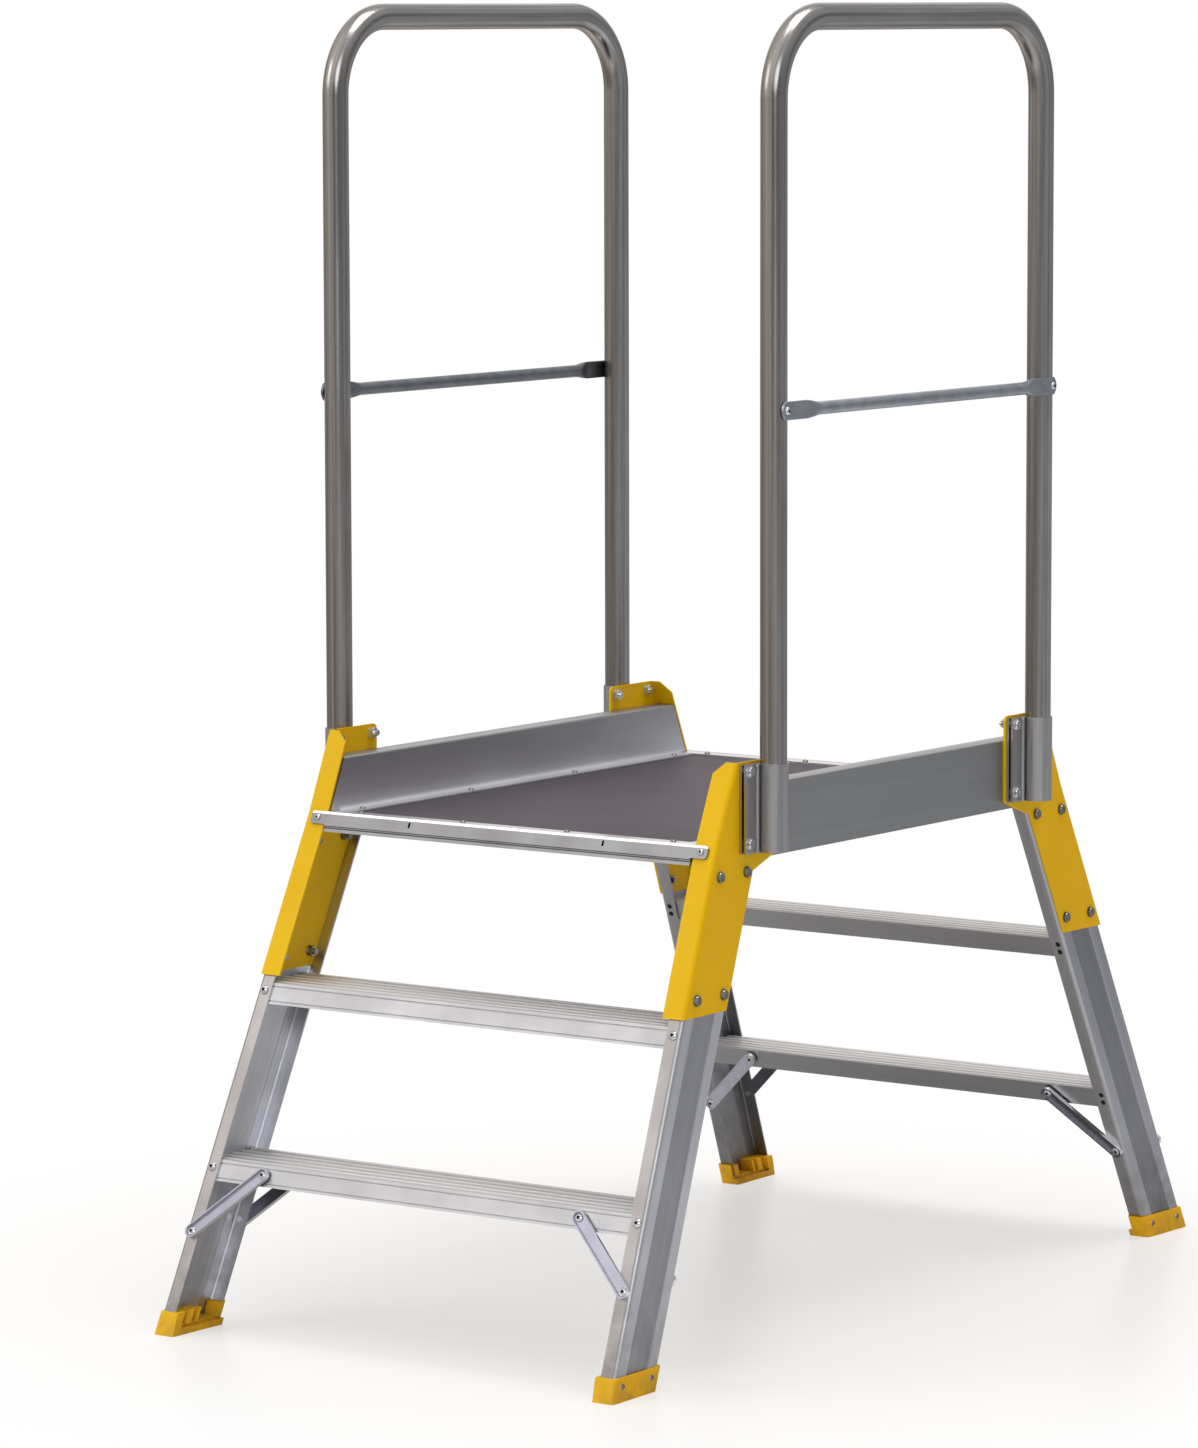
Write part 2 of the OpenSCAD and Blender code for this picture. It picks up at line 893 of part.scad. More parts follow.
toe_in = half_top - toe_wall;
panel_half_x = toe_in - part_gap;
panel_half_y = face_y - 4;
edge_half = half_top + bracket_wall - bracket_flange - part_gap - 1;
toe_inner = edge_half + part_gap;
foot_edge = toe_inner - toe_foot;
edge_inner = panel_half_y - edge_flange;
tab_half = edge_half + 26;
edge_screw_x = tab_half - 11;

module deck_panel() color(plum)
    difference() {
        translate([-panel_half_x, -panel_half_y, deck_under])
            cube([2 * panel_half_x, 2 * panel_half_y, deck_thickness]);
        edge_rivet_places()
            cylinder(d = small_hole, h = 6 * deck_thickness, center = true);
        toe_rivet_places()
            cylinder(d = small_hole, h = 6 * deck_thickness, center = true);
    }

// Deck edges

module edge_section() {
    high = deck_height + edge_wall - 0.5;
    low = high - edge_face;
    out = -bracket_wall - edge_wall;
    back_y = -edge_inner;
    panel_y = -panel_half_y;
    // sloping face
    polygon([
        [plane_y(out, high), high],
        [plane_y(out + edge_wall, high), high],
        [plane_y(out + edge_wall, low), low],
        [plane_y(out, low), low]
    ]);
    // round nose
    translate([plane_y(out, high) + edge_nose - 0.6, high - edge_nose + 1])
        circle(edge_nose);
    // top flange
    translate([plane_y(out, high) + edge_wall, deck_height])
        square([back_y - plane_y(out, high) - edge_wall, edge_wall - 0.5]);
    // set-back lower band
    polygon([
        [plane_y(out + edge_wall - 0.5, low + 2), low + 2],
        [plane_y(out + 2 * edge_wall - 0.5, low + 2), low + 2],
        [plane_y(out + 2 * edge_wall - 0.5, edge_bottom), edge_bottom],
        [plane_y(out + edge_wall - 0.5, edge_bottom), edge_bottom]
    ]);
    // flange under the panel
    translate([plane_y(out + edge_wall, edge_bottom + 3), deck_under - edge_wall + 0.5])
        square([back_y - plane_y(out + edge_wall, edge_bottom + 3), edge_wall - 0.5]);
    // wall against the panel
    translate([panel_y - 2, deck_under - 1])
        square([2, deck_thickness + 2]);
}

module edge_body() {
    tab_mid = deck_height + edge_wall - 0.5 - edge_face / 2;
    difference() {
        union() {
            translate([-edge_half, 0, 0])
                rotate([90, 0, 90])
                    linear_extrude(2 * edge_half)
                        edge_section();
            // rounded tabs at both ends
            in_frame()
                translate([0, -bracket_wall, slope(tab_mid, -bracket_wall)])
                    rotate([90, 0, 0])
                        linear_extrude(edge_wall)
                            tab_outline();
        }
        for (sx = [-1, 1]) {
            corner(sx, -1)
                edge_screw_place()
                    cylinder(d = small_hole, h = 8 * edge_wall, center = true);
            // oblong hole in the face
            in_frame()
                translate([sx * edge_half * 0.53, -bracket_wall - edge_wall / 2, slope(tab_mid, -bracket_wall)])
                    rotate([90, 90, 0])
                        linear_extrude(2 * edge_wall, center = true)
                            translate([-2.5, 0])
                                strip(5, 3.5);
        }
        edge_rivet_places()
            cylinder(d = small_hole, h = 6 * deck_thickness, center = true);
    }
}

module tab_outline() {
    tall = edge_face / lean_cos - 1.2;
    r = 5;
    difference() {
        square([2 * tab_half, tall], center = true);
        for (sx = [-1, 1], sy = [-1, 1])
            translate([sx * tab_half, sy * tall / 2])
                rotate(sx > 0 ? (sy > 0 ? 180 : 90) : (sy > 0 ? -90 : 0))
                    corner_cut(r);
    }
}

// Screw of the front right tab, with Z pointing out of the frame
module edge_screw_place() {
    tab_mid = deck_height + edge_wall - 0.5 - edge_face / 2;
    in_frame()
        translate([edge_screw_x, -bracket_wall - edge_wall, slope(tab_mid, -bracket_wall)])
            rotate([90, 0, 0])
                children();
}

// Four rivets along the front edge, at the top of its flange
module edge_rivet_places() {
    for (sy = [-1, 1], i = [-1.5:1:1.5])
        translate([
            i * edge_half * 0.57,
            sy * (panel_half_y - edge_flange * 0.55),
            deck_height + edge_wall - 0.5
        ])
            children();
}

module front_deck_edge() color(silver) edge_body();
module rear_deck_edge() color(silver) rotate([0, 0, 180]) edge_body();

// Toe boards

// Section of the right toe board in X and Z: a hollow board whose outer wall covers the deck's side
module toe_section() {
    wide = half_top - toe_inner;
    top = deck_height + toe_height;
    difference() {
        translate([toe_inner, deck_height])
            square([wide, toe_height]);
        translate([toe_inner + toe_wall, deck_height - 1])
            square([wide - 2 * toe_wall, toe_height + 1 - toe_wall]);
        translate([toe_inner, top])
            mirror([0, 1])
                corner_cut(toe_bend);
        translate([half_top, top])
            rotate(180)
                corner_cut(toe_bend);
    }
    translate([toe_in, edge_bottom])
        square([toe_wall, deck_height + 1 - edge_bottom]);
}

// The foot on the deck with its fillet, and the flange below the deck
module toe_flange_section() {
    translate([foot_edge, deck_height])
        square([toe_foot + toe_wall / 2, 2]);
    difference() {
        translate([toe_inner - toe_fillet, deck_height + 1])
            square(toe_fillet + 1);
        translate([toe_inner - toe_fillet, deck_height + 2 + toe_fillet])
            circle(toe_fillet);
    }
    translate([foot_edge, deck_under - 2])
        square([toe_in + toe_wall / 2 - foot_edge, 2]);
}

module toe_body() {
    flange_half = edge_inner - part_gap;
    difference() {
        union() {
            // wall between the leaning bracket flanges
            intersection() {
                translate([0, big / 2, 0])
                    rotate([90, 0, 0])
                        linear_extrude(big)
                            toe_section();
                for_both_frames();
            }
            translate([0, flange_half, 0])
                rotate([90, 0, 0])
                    linear_extrude(2 * flange_half)
                        toe_flange_section();
        }
        toe_rivet_places()
            cylinder(d = small_hole, h = 6 * deck_thickness, center = true);
    }
}

// The room between the climbing faces of the two frames
module for_both_frames() {
    intersection_for (turn = [0, 180])
        rotate([0, 0, turn])
            in_frame()
                translate([-big, bend_in + 0.3, -big])
                    cube([2 * big, 2 * big, 3 * big]);
}

// Four rivets along each toe board, at the top of its foot
module toe_rivet_places() {
    for (sx = [-1, 1], i = [-1.5:1:1.5])
        translate([sx * (foot_edge + toe_foot * 0.4), i * (edge_inner * 0.61), deck_height + 2])
            children();
}

module left_toe_board() color(grey) mirror([1, 0, 0]) toe_body();
module right_toe_board() color(grey) toe_body();

// Handrails

module ring_section() {
    difference() {
        circle(rail_r);
        circle(rail_r - rail_wall);
    }
}

// Right handrail: two legs, two bends and the top bar
module handrail_body() {
    leg = rail_top - rail_bend - leg_foot;
    bar = rail_span - 2 * rail_bend;
    difference() {
        union() {
            for (sy = [-1, 1]) {
                translate([0, sy * rail_y, leg_foot])
                    linear_extrude(leg)
                        ring_section();
                translate([0, sy * (rail_y - rail_bend), rail_top - rail_bend])
                    rotate([90, 0, 90])
                        rotate([0, 0, sy < 0 ? 90 : 0])
                            rotate_extrude(angle = 90)
                                translate([rail_bend, 0])
                                    ring_section();
            }
            translate([0, bar / 2, rail_top])
                rotate([90, 0, 0])
                    linear_extrude(bar)
                        ring_section();
        }
        for (sy = [-1, 1])
            translate([rail_r, sy * rail_y, mid_z])
                rotate([0, 90, 0])
                    cylinder(d = rivet_hole, h = rail_r, center = true);
    }
}

// Right mid rail: round tube pressed flat at both ends
module mid_body() {
    press = mid_d * 1.8;
    run = rail_y - mid_land - press;
    difference() {
        union() {
            translate([0, run, 0])
                rotate([90, 0, 0])
                    cylinder(d = mid_d, h = 2 * run);
            for (sy = [-1, 1]) {
                hull() {
                    translate([0, sy * run, 0])
                        rotate([90, 0, 0])
                            cylinder(d = mid_d, h = 0.2, center = true, $fn = 32);
                    translate([0, sy * (run + press), 0])
                        cube([mid_flat, 0.2, mid_flat_h], center = true);
                }
                translate([-mid_flat / 2, sy * rail_y, 0])
                    rotate([90, 0, 90])
                        linear_extrude(mid_flat)
                            mid_tip(sy);
            }
        }
        for (sy = [-1, 1])
            translate([0, sy * rail_y, 0])
                rotate([0, 90, 0])
                    cylinder(d = rivet_hole, h = 4 * mid_flat, center = true);
    }
}

// Flat end of the mid rail with a bowed tip, with the rivet at the origin
module mid_tip(sy) {
    tip = mid_flat_h * 0.38;
    intersection() {
        translate([sy > 0 ? -mid_land : -tip, -mid_flat_h / 2])
            square([mid_land + tip, mid_flat_h]);
        translate([sy * (tip - mid_flat_h * 0.7), 0])
            circle(mid_flat_h * 0.7);
    }
    translate([sy > 0 ? -mid_land : 0, -mid_flat_h / 2])
        square([mid_land, mid_flat_h]);
}

// Rivets of the right mid rail, set through the outer wall of the tube
module rail_rivet_set() {
    for (sy = [-1, 1])
        translate([rail_x + rail_r + mid_flat, sy * rail_y, mid_z])
            rotate([0, 90, 0])
                rivet(rivet_d, rivet_d * 1.7, mid_flat + rail_wall + 0.9);
}

module right_handrail() color(grey) translate([rail_x, 0, 0]) handrail_body();
module left_handrail() color(grey) translate([-rail_x, 0, 0]) mirror([1, 0, 0]) handrail_body();
module right_mid_rail() color(zinc) translate([mid_x, 0, mid_z]) mid_body();
module left_mid_rail() color(zinc) translate([-mid_x, 0, mid_z]) mid_body();
module right_rail_rivets() color(bright) rail_rivet_set();
module left_rail_rivets() color(bright) mirror([1, 0, 0]) rail_rivet_set();

// Fastener groups

module four_corners() {
    for (sx = [-1, 1], sy = [-1, 1])
        corner(sx, sy)
            children();
}

module bracket_bolts() color(bright) four_corners()
    for (z = [upper_row, lower_row], m = bolt_m)
        at_height(z, m)
            translate([bracket_wall, m, 0])
                rotate([0, 90, 0])
                    bolt(bracket_wall + web_in + backing_wall + bolt_tail);

module bracket_nuts() color(bright) four_corners()
    for (z = [upper_row, lower_row], m = bolt_m)
        at_height(z, m)
            translate([-web_in - backing_wall, m, 0])
                rotate([0, -90, 0])
                    nut();

// Long bolts through the slotted lug, short ones through the back plate
module clamp_bolts() color(bright)
    for (sx = [-1, 1], sy = [-1, 1])
        socket_at(sx, sy)
            for (z = [clamp_low, clamp_high], y = [-clamp_spread, clamp_spread]) {
                head_x = y < 0 ? socket_back + socket_slot + socket_lug : socket_back;
                tail = z > deck_height + 20 ? bolt_tail : 0;
                translate([-rail_offset + head_x, y, z])
                    rotate([0, 90, 0])
                        bolt(head_x + bracket_wall + tail);
            }

module clamp_nuts() color(bright)
    for (sx = [-1, 1], sy = [-1, 1])
        socket_at(sx, sy)
            for (y = [-clamp_spread, clamp_spread])
                translate([-rail_offset - bracket_wall, y, clamp_high])
                    rotate([0, -90, 0])
                        nut();

module tread_rivets() color(bright) four_corners()
    for (top = [lower_tread, upper_tread])
        at_height(top - tread_rivet_drop, 0)
            translate([flange_mid, 0, 0])
                rotate([90, 0, 0])
                    rivet(rivet_d, rivet_d * 2.1, stile_wall + tread_wall);

module tread_pins() color(zinc) four_corners()
    for (top = [lower_tread, upper_tread], drop = pin_drops())
        at_height(top - drop, stile_depth)
            translate([flange_mid, stile_depth, 0])
                rotate([-90, 0, 0])
                    rivet(small_d, small_d * 2, stile_wall + tread_wall);

module brace_rivets() color(bright) four_corners()
    for (way = [-1, 1])
        brace_plane(way) {
            translate([0, 0, brace_wall])
                rivet(rivet_d, rivet_d * 1.9, brace_wall + stile_wall + tread_wall);
            translate([brace_length(), 0, brace_wall])
                rivet(rivet_d, rivet_d * 1.9, brace_wall + stile_wall);
        }

module foot_screws() color(bright) four_corners()
    foot_screw_places()
        translate([0, 0, foot_wall])
            button(small_d, foot_wall + web_in + 2);

module edge_screws() color(bright) four_corners()
    edge_screw_place()
        button(small_d, edge_wall + bracket_wall + 1);

module edge_rivets() color(bright)
    edge_rivet_places()
        rivet(small_d, small_d * 2, deck_thickness + 2 * edge_wall - 1);

module toe_rivets() color(bright)
    toe_rivet_places()
        rivet(small_d, small_d * 2, deck_thickness + 4);

front_left_stile();
front_right_stile();
rear_left_stile();
rear_right_stile();
front_upper_tread();
front_lower_tread();
rear_upper_tread();
rear_lower_tread();
front_left_outer_brace();
front_left_inner_brace();
front_right_outer_brace();
front_right_inner_brace();
rear_left_outer_brace();
rear_left_inner_brace();
rear_right_outer_brace();
rear_right_inner_brace();
front_left_foot();
front_right_foot();
rear_left_foot();
rear_right_foot();
front_left_bracket();
front_right_bracket();
rear_left_bracket();
rear_right_bracket();
front_left_backing();
front_right_backing();
rear_left_backing();
rear_right_backing();
front_left_socket();
front_right_socket();
rear_left_socket();
rear_right_socket();
deck_panel();
front_deck_edge();
rear_deck_edge();
left_toe_board();
right_toe_board();
left_handrail();
right_handrail();
left_mid_rail();
right_mid_rail();
left_rail_rivets();
right_rail_rivets();
bracket_bolts();
bracket_nuts();
clamp_bolts();
clamp_nuts();
tread_rivets();
tread_pins();
brace_rivets();
foot_screws();
edge_screws();
edge_rivets();
toe_rivets();
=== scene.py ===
"""Podium step: finishes, bent tubes, fastener heads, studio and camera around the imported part.

Every length is in metres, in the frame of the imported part: X runs along the treads, the front ladder frame
is at -Y, Z is up, and the origin lies on the floor under the middle of the deck.
"""

import logging
import math
from collections.abc import Iterator, Sequence
from dataclasses import dataclass, replace
from enum import Enum
from functools import cache

import bpy
import numpy as np
from mathutils import Euler, Matrix, Vector


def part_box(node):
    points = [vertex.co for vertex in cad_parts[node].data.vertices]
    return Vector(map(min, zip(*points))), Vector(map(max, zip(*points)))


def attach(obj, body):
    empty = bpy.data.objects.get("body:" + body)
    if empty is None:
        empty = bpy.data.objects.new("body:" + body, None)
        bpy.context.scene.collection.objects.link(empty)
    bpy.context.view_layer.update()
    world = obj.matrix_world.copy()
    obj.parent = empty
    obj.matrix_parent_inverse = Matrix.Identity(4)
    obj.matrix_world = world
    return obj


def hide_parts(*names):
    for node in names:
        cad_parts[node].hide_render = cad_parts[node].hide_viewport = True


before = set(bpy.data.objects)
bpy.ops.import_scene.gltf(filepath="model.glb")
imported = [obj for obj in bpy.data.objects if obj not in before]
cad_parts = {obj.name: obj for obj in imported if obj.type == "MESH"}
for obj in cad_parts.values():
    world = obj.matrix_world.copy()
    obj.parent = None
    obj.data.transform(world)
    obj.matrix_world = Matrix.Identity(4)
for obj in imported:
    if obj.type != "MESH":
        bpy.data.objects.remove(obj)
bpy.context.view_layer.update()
log = logging.getLogger("podium_step")

Colour = tuple[float, float, float]
Socket = bpy.types.NodeSocket
Value = float | Colour | Socket

LEAN = math.radians(23.5)
SPLAY = math.radians(3.0)
SHARP_EDGE = math.radians(50)
DECK_CORNER = (0.3455, 0.4404, 0.700)
DECK_TOP = 0.700
BOARD_TOP = 0.772
BOARD_INNER_WALL = 0.33
STILE_BAND = 0.024
STILE_DEPTH = 0.095
TREAD_RIDGE = 0.001
SIDES = ("left", "right")
ENDS = ("front", "rear")
CORNERS = tuple(f"{end}_{side}" for end in ENDS for side in SIDES)

WHITE = (1.0, 1.0, 1.0)
# Painted highlight on ridge crests, and painted shade in the valleys between them.
CREST_HIGHLIGHT = (0.90, 0.90, 0.91)
VALLEY_SHADE = (0.16, 0.155, 0.15)
# Painted light on the low inner walls of the toe boards.
WALL_LIGHT_TONE = (0.90, 0.89, 0.93)
# Painted highlight on the braces' turned-up rims.
RIM_HIGHLIGHT = (0.93, 0.93, 0.95)
# Painted shade for a stile's recessed panel and its climbing face.
PANEL_SHADE = (0.66, 0.66, 0.67)
CLIMB_SHADE = (0.72, 0.69, 0.66)
COAT_SPECK = (0.34, 0.16, 0.02)
# Painted shadow in the gap under the toe boards' feet.
JOINT_SHADOW = (0.008, 0.007, 0.008)

CLOUD_SPAN = (0.3, 0.7)
STREAK_SPAN = (0.3, 0.72)
SMUDGE_SPAN = (0.38, 0.68)
RIM_SPAN = (0.5, 0.85)
MESH_SPAN = (-0.4, 0.6)
SMUDGE_DARKNESS = 0.72
SMUDGE_ROUGHNESS = 0.6
PANEL_ROUGHNESS = 0.10
WALL_LIGHT_ROUGHNESS = 0.12
WALL_LIGHT_AT_TOP = 0.25
SPECK_SHARE = 0.35
SPECK_SCALE = 38.0
SPECK_SPAN = (0.22, 0.08)
PATCH_SCALE = 5.0
PATCH_SPAN = (0.55, 0.7)
DUST_SCALE = 24.0
DUST_SPAN = (0.3, 0.75)
HAIRLINE_SCALE = 6.3
PANEL_FADE = (-0.001, 0.0025)
PANEL_RECESS = 0.003
CLIMB_SKIN = 0.001


class Graph:
    """A short way to add and join the nodes of one tree."""

    def __init__(self, tree: bpy.types.NodeTree) -> None:
        """Keep the tree that the nodes go into."""
        self.tree = tree

    def plug(self, socket: Socket, value: Value) -> None:
        """Link a socket to another one, or set its value.

        Args:
            socket: The input to fill.
            value: A socket to link from, a number, a vector or a colour.
        """
        if isinstance(value, bpy.types.NodeSocket):
            self.tree.links.new(value, socket)
        elif socket.type == "RGBA" and len(value) == 3:
            socket.default_value = (*value, 1.0)
        else:
            socket.default_value = value

    def add(self, kind: str, sockets: dict | None = None, **settings: object) -> bpy.types.Node:
        """Add one node.

        Args:
            kind: Type name of the node.
            sockets: Values or sockets for its inputs, by name or by index.
            settings: Properties of the node.

        Returns:
            The new node.
        """
        node = self.tree.nodes.new(kind)
        for name, value in settings.items():
            setattr(node, name, value)
        for key, value in (sockets or {}).items():
            self.plug(node.inputs[key], value)
        return node

    def first(self, kind: str, sockets: dict | None = None, **settings: object) -> Socket:
        """Return the first output of a new node."""
        return self.add(kind, sockets, **settings).outputs[0]

    def place(self) -> Socket:
        """Return the place in the frame of the part."""
        return self.add("ShaderNodeTexCoord").outputs["Object"]

    def axes(self, vector: Socket) -> bpy.types.NodeOutputs:
        """Return the X, Y and Z of a vector."""
        return self.add("ShaderNodeSeparateXYZ", {0: vector}).outputs

    def named(self, name: str, data_type: str) -> Socket:
        """Return a named attribute of the geometry."""
        return self.first("GeometryNodeInputNamedAttribute", {"Name": name}, data_type=data_type)

    def math(self, operation: str, *values: Value) -> Socket:
        """Return the result of a Math node on one, two or three values."""
        return self.first("ShaderNodeMath", dict(enumerate(values)), operation=operation)

    def times(self, a: Value, b: Value) -> Socket:
        """Return the product of two values."""
        return self.math("MULTIPLY", a, b)

    def vector(self, operation: str, *values: Value) -> Socket:
        """Return the vector result of a Vector Math node."""
        return self.first("ShaderNodeVectorMath", dict(enumerate(values)), operation=operation)

    def length(self, vector: Socket) -> Socket:
        """Return the length of a vector."""
        node = self.add("ShaderNodeVectorMath", {0: vector}, operation="LENGTH")
        return node.outputs["Value"]

    def dot(self, a: Value, b: Value) -> Socket:
        """Return the dot product of two vectors."""
        node = self.add("ShaderNodeVectorMath", {0: a, 1: b}, operation="DOT_PRODUCT")
        return node.outputs["Value"]

    def mix(self, factor: Value, a: Value, b: Value, blend: str = "MIX") -> Socket:
        """Return a mix of two colours.

        Args:
            factor: Share of the second colour.
            a: First colour.
            b: Second colour.
            blend: Blending mode.

        Returns:
            The mixed colour.
        """
        node = self.add("ShaderNodeMix", data_type="RGBA", blend_type=blend)
        self.plug(node.inputs[0], factor)
        self.plug(node.inputs[6], a)
        self.plug(node.inputs[7], b)
        return node.outputs[2]

    def span(self, value: Value, low: float, high: float, start: float = 0.0, end: float = 1.0) -> Socket:
        """Return a value moved smoothly from one range to another.

        Args:
            value: The value to move.
            low: Start of its range.
            high: End of its range.
            start: Result at low.
            end: Result at high.

        Returns:
            The moved value, held inside the new range.
        """
        node = self.add("ShaderNodeMapRange", interpolation_type="SMOOTHSTEP")
        for key, part in enumerate((value, low, high, start, end)):
            self.plug(node.inputs[key], part)
        return node.outputs[0]

    def effect(self, group: bpy.types.NodeTree, sockets: dict[str, Value]) -> bpy.types.Node:
        """Place a shared shader group.

        Args:
            group: The group.
            sockets: Values or sockets for its inputs.

        Returns:
            The group's node.
        """
        node = self.add("ShaderNodeGroup", node_tree=group)
        for name, value in sockets.items():
            self.plug(node.inputs[name], value)
        return node

    def noise(self, vector: Socket, scale: Value, detail: float = 3.0, rough: float = 0.55) -> Socket:
        """Return the value of a noise texture."""
        sockets = {"Vector": vector, "Scale": scale, "Detail": detail, "Roughness": rough}
        return self.first("ShaderNodeTexNoise", sockets)


class Kind(Enum):
    """Socket types of node groups."""

    VALUE = "NodeSocketFloat"
    VECTOR = "NodeSocketVector"
    COLOUR = "NodeSocketColor"
    COUNT = "NodeSocketInt"
    SHAPE = "NodeSocketGeometry"
    FINISH = "NodeSocketMaterial"
    PIECE = "NodeSocketObject"


def open_group(
    name: str, tree_type: str, inputs: dict[str, Kind], outputs: dict[str, Kind]
) -> tuple[Graph, bpy.types.Node, bpy.types.Node]:
    """Start a node group.

    Args:
        name: Name of the group.
        tree_type: Blender's type name of the tree.
        inputs: Input names and their kinds.
        outputs: Output names and their kinds.

    Returns:
        The group's graph, its input node and its output node.
    """
    tree = bpy.data.node_groups.new(name, tree_type)
    for label, kind in inputs.items():
        tree.interface.new_socket(name=label, in_out="INPUT", socket_type=kind.value)
    for label, kind in outputs.items():
        tree.interface.new_socket(name=label, in_out="OUTPUT", socket_type=kind.value)
    graph = Graph(tree)
    return graph, graph.add("NodeGroupInput"), graph.add("NodeGroupOutput")


@cache
def drawn_grain() -> bpy.types.NodeTree:
    """Return the group for the fine lines that a die leaves along drawn metal; they run along Z."""
    graph, source, sink = open_group(
        "drawn_grain",
        "ShaderNodeTree",
        {"Vector": Kind.VECTOR, "Along": Kind.VALUE, "Across": Kind.VALUE},
        {"Streak": Kind.VALUE, "Hairline": Kind.VALUE},
    )
    across = source.outputs["Across"]
    scale = graph.first("ShaderNodeCombineXYZ", {0: across, 1: across, 2: source.outputs["Along"]})
    place = graph.vector("MULTIPLY", source.outputs["Vector"], scale)
    graph.plug(sink.inputs["Streak"], graph.noise(place, 1.0, 3.0, 0.6))
    graph.plug(sink.inputs["Hairline"], graph.noise(place, HAIRLINE_SCALE, 2.0, 0.5))
    return graph.tree


@cache
def handling_marks() -> bpy.types.NodeTree:
    """Return the group for soft smudges and small specks left by use."""
    graph, source, sink = open_group(
        "handling_marks",
        "ShaderNodeTree",
        {"Vector": Kind.VECTOR, "Scale": Kind.VALUE},
        {"Smudge": Kind.VALUE, "Speck": Kind.VALUE},
    )
    place, scale = source.outputs["Vector"], source.outputs["Scale"]
    cloud = graph.noise(place, scale, 4.0, 0.6)
    graph.plug(sink.inputs["Smudge"], graph.span(cloud, *SMUDGE_SPAN))
    fine = graph.times(scale, SPECK_SCALE)
    dots = graph.add("ShaderNodeTexVoronoi", {"Vector": place, "Scale": fine}).outputs["Distance"]
    gate = graph.span(graph.noise(place, graph.times(scale, PATCH_SCALE)), *PATCH_SPAN)
    graph.plug(sink.inputs["Speck"], graph.times(graph.span(dots, *SPECK_SPAN), gate))
    return graph.tree


@cache
def floor_grime() -> bpy.types.NodeTree:
    """Return the group for the dust that gathers on the lowest stretch of the part."""
    graph, source, sink = open_group(
        "floor_grime",
        "ShaderNodeTree",
        {"Vector": Kind.VECTOR, "Reach": Kind.VALUE},
        {"Grime": Kind.VALUE},
    )
    height = graph.axes(source.outputs["Vector"])["Z"]
    share = graph.math("DIVIDE", height, source.outputs["Reach"])
    fade = graph.span(share, 0.0, 1.0, 1.0, 0.0)
    patch = graph.span(graph.noise(source.outputs["Vector"], DUST_SCALE, 5.0, 0.65), *DUST_SPAN)
    graph.plug(sink.inputs["Grime"], graph.times(fade, patch))
    return graph.tree


@dataclass(frozen=True)
class Glow:
    """A soft patch in the surroundings.

    Attributes:
        way: Direction of its middle.
        start: Cosine of the angle at which it begins.
        full: Cosine of the angle at which it is full.
        least: Level outside it.
        most: Level in its middle.
    """

    way: tuple[float, float, float]
    start: float
    full: float
    least: float = 0.0
    most: float = 1.0

    def level(self, graph: Graph, way: Socket) -> Socket:
        """Return its level in a direction."""
        return graph.span(graph.dot(way, self.way), self.start, self.full, self.least, self.most)


COOL_SIDE = Glow((0.8, 0.3, 0.4), -0.6, 0.7)
WARM_TINT = (1.0, 0.93, 0.87)
COOL_TINT = (0.93, 0.955, 1.0)
BAND_SHAPE = (1.0, 1.0, 0.25)
BAND_SPAN = (0.35, 0.65)


@cache
def room_tone() -> bpy.types.NodeTree:
    """Return the group that gives the room round the part its tint and its soft upright bands."""
    graph, source, sink = open_group(
        "room_tone",
        "ShaderNodeTree",
        {"Direction": Kind.VECTOR, "Bands": Kind.VALUE, "Depth": Kind.VALUE},
        {"Tint": Kind.COLOUR, "Level": Kind.VALUE},
    )
    way = graph.vector("NORMALIZE", source.outputs["Direction"])
    side = COOL_SIDE.level(graph, way)
    graph.plug(sink.inputs["Tint"], graph.mix(side, WARM_TINT, COOL_TINT))
    tall = graph.vector("MULTIPLY", way, BAND_SHAPE)
    band = graph.span(graph.noise(tall, source.outputs["Bands"], 1.0), *BAND_SPAN, -1.0, 1.0)
    graph.plug(sink.inputs["Level"], graph.math("MULTIPLY_ADD", band, source.outputs["Depth"], 1.0))
    return graph.tree


class Run(Enum):
    """Direction that a piece was drawn or rolled in, as the turn that lays it along Z."""

    UPRIGHT = (0.0, 0.0, 0.0)
    ALONG_TREADS = (0.0, math.pi / 2, 0.0)
    FRONT_TO_BACK = (math.pi / 2, 0.0, 0.0)
    FRONT_LEFT = (LEAN, -SPLAY, 0.0)
    FRONT_RIGHT = (LEAN, SPLAY, 0.0)
    REAR_LEFT = (-LEAN, -SPLAY, 0.0)
    REAR_RIGHT = (-LEAN, SPLAY, 0.0)
    TUBE = None

    @property
    def is_stile(self) -> bool:
        """Whether this is the direction of one of the four stiles."""
        return self.name.startswith(("FRONT_LEFT", "FRONT_RIGHT", "REAR"))

    @property
    def shift(self) -> Vector:
        """Offset after the turn; it lays a stile's outer climbing corner on the Z axis."""
        if not self.is_stile:
            return Vector((0.0, 0.0, 0.0))
        x, y, z = DECK_CORNER
        corner = Vector((x if "RIGHT" in self.name else -x, y if "REAR" in self.name else -y, z))
        return -(Euler(self.value).to_matrix() @ corner)


def new_material(name: str) -> tuple[bpy.types.Material, Graph, bpy.types.Node]:
    """Make an empty material.

    Args:
        name: Name of the material.

    Returns:
        The material, its graph and its Principled shader.
    """
    material = bpy.data.materials.new(name)
    material.use_nodes = True
    return material, Graph(material.node_tree), material.node_tree.nodes["Principled BSDF"]


def place_of(graph: Graph, run: Run) -> Socket:
    """Lay the drawing direction along Z.

    Args:
        graph: Graph of the material.
        run: Direction that the piece was drawn in.

    Returns:
        Coordinates on the piece.
    """
    if run is Run.TUBE:
        return graph.add("ShaderNodeAttribute", attribute_name="straight").outputs["Vector"]
    place = graph.place()
    sockets = {"Vector": place, "Rotation": run.value, "Location": run.shift}
    return graph.first("ShaderNodeMapping", sockets)


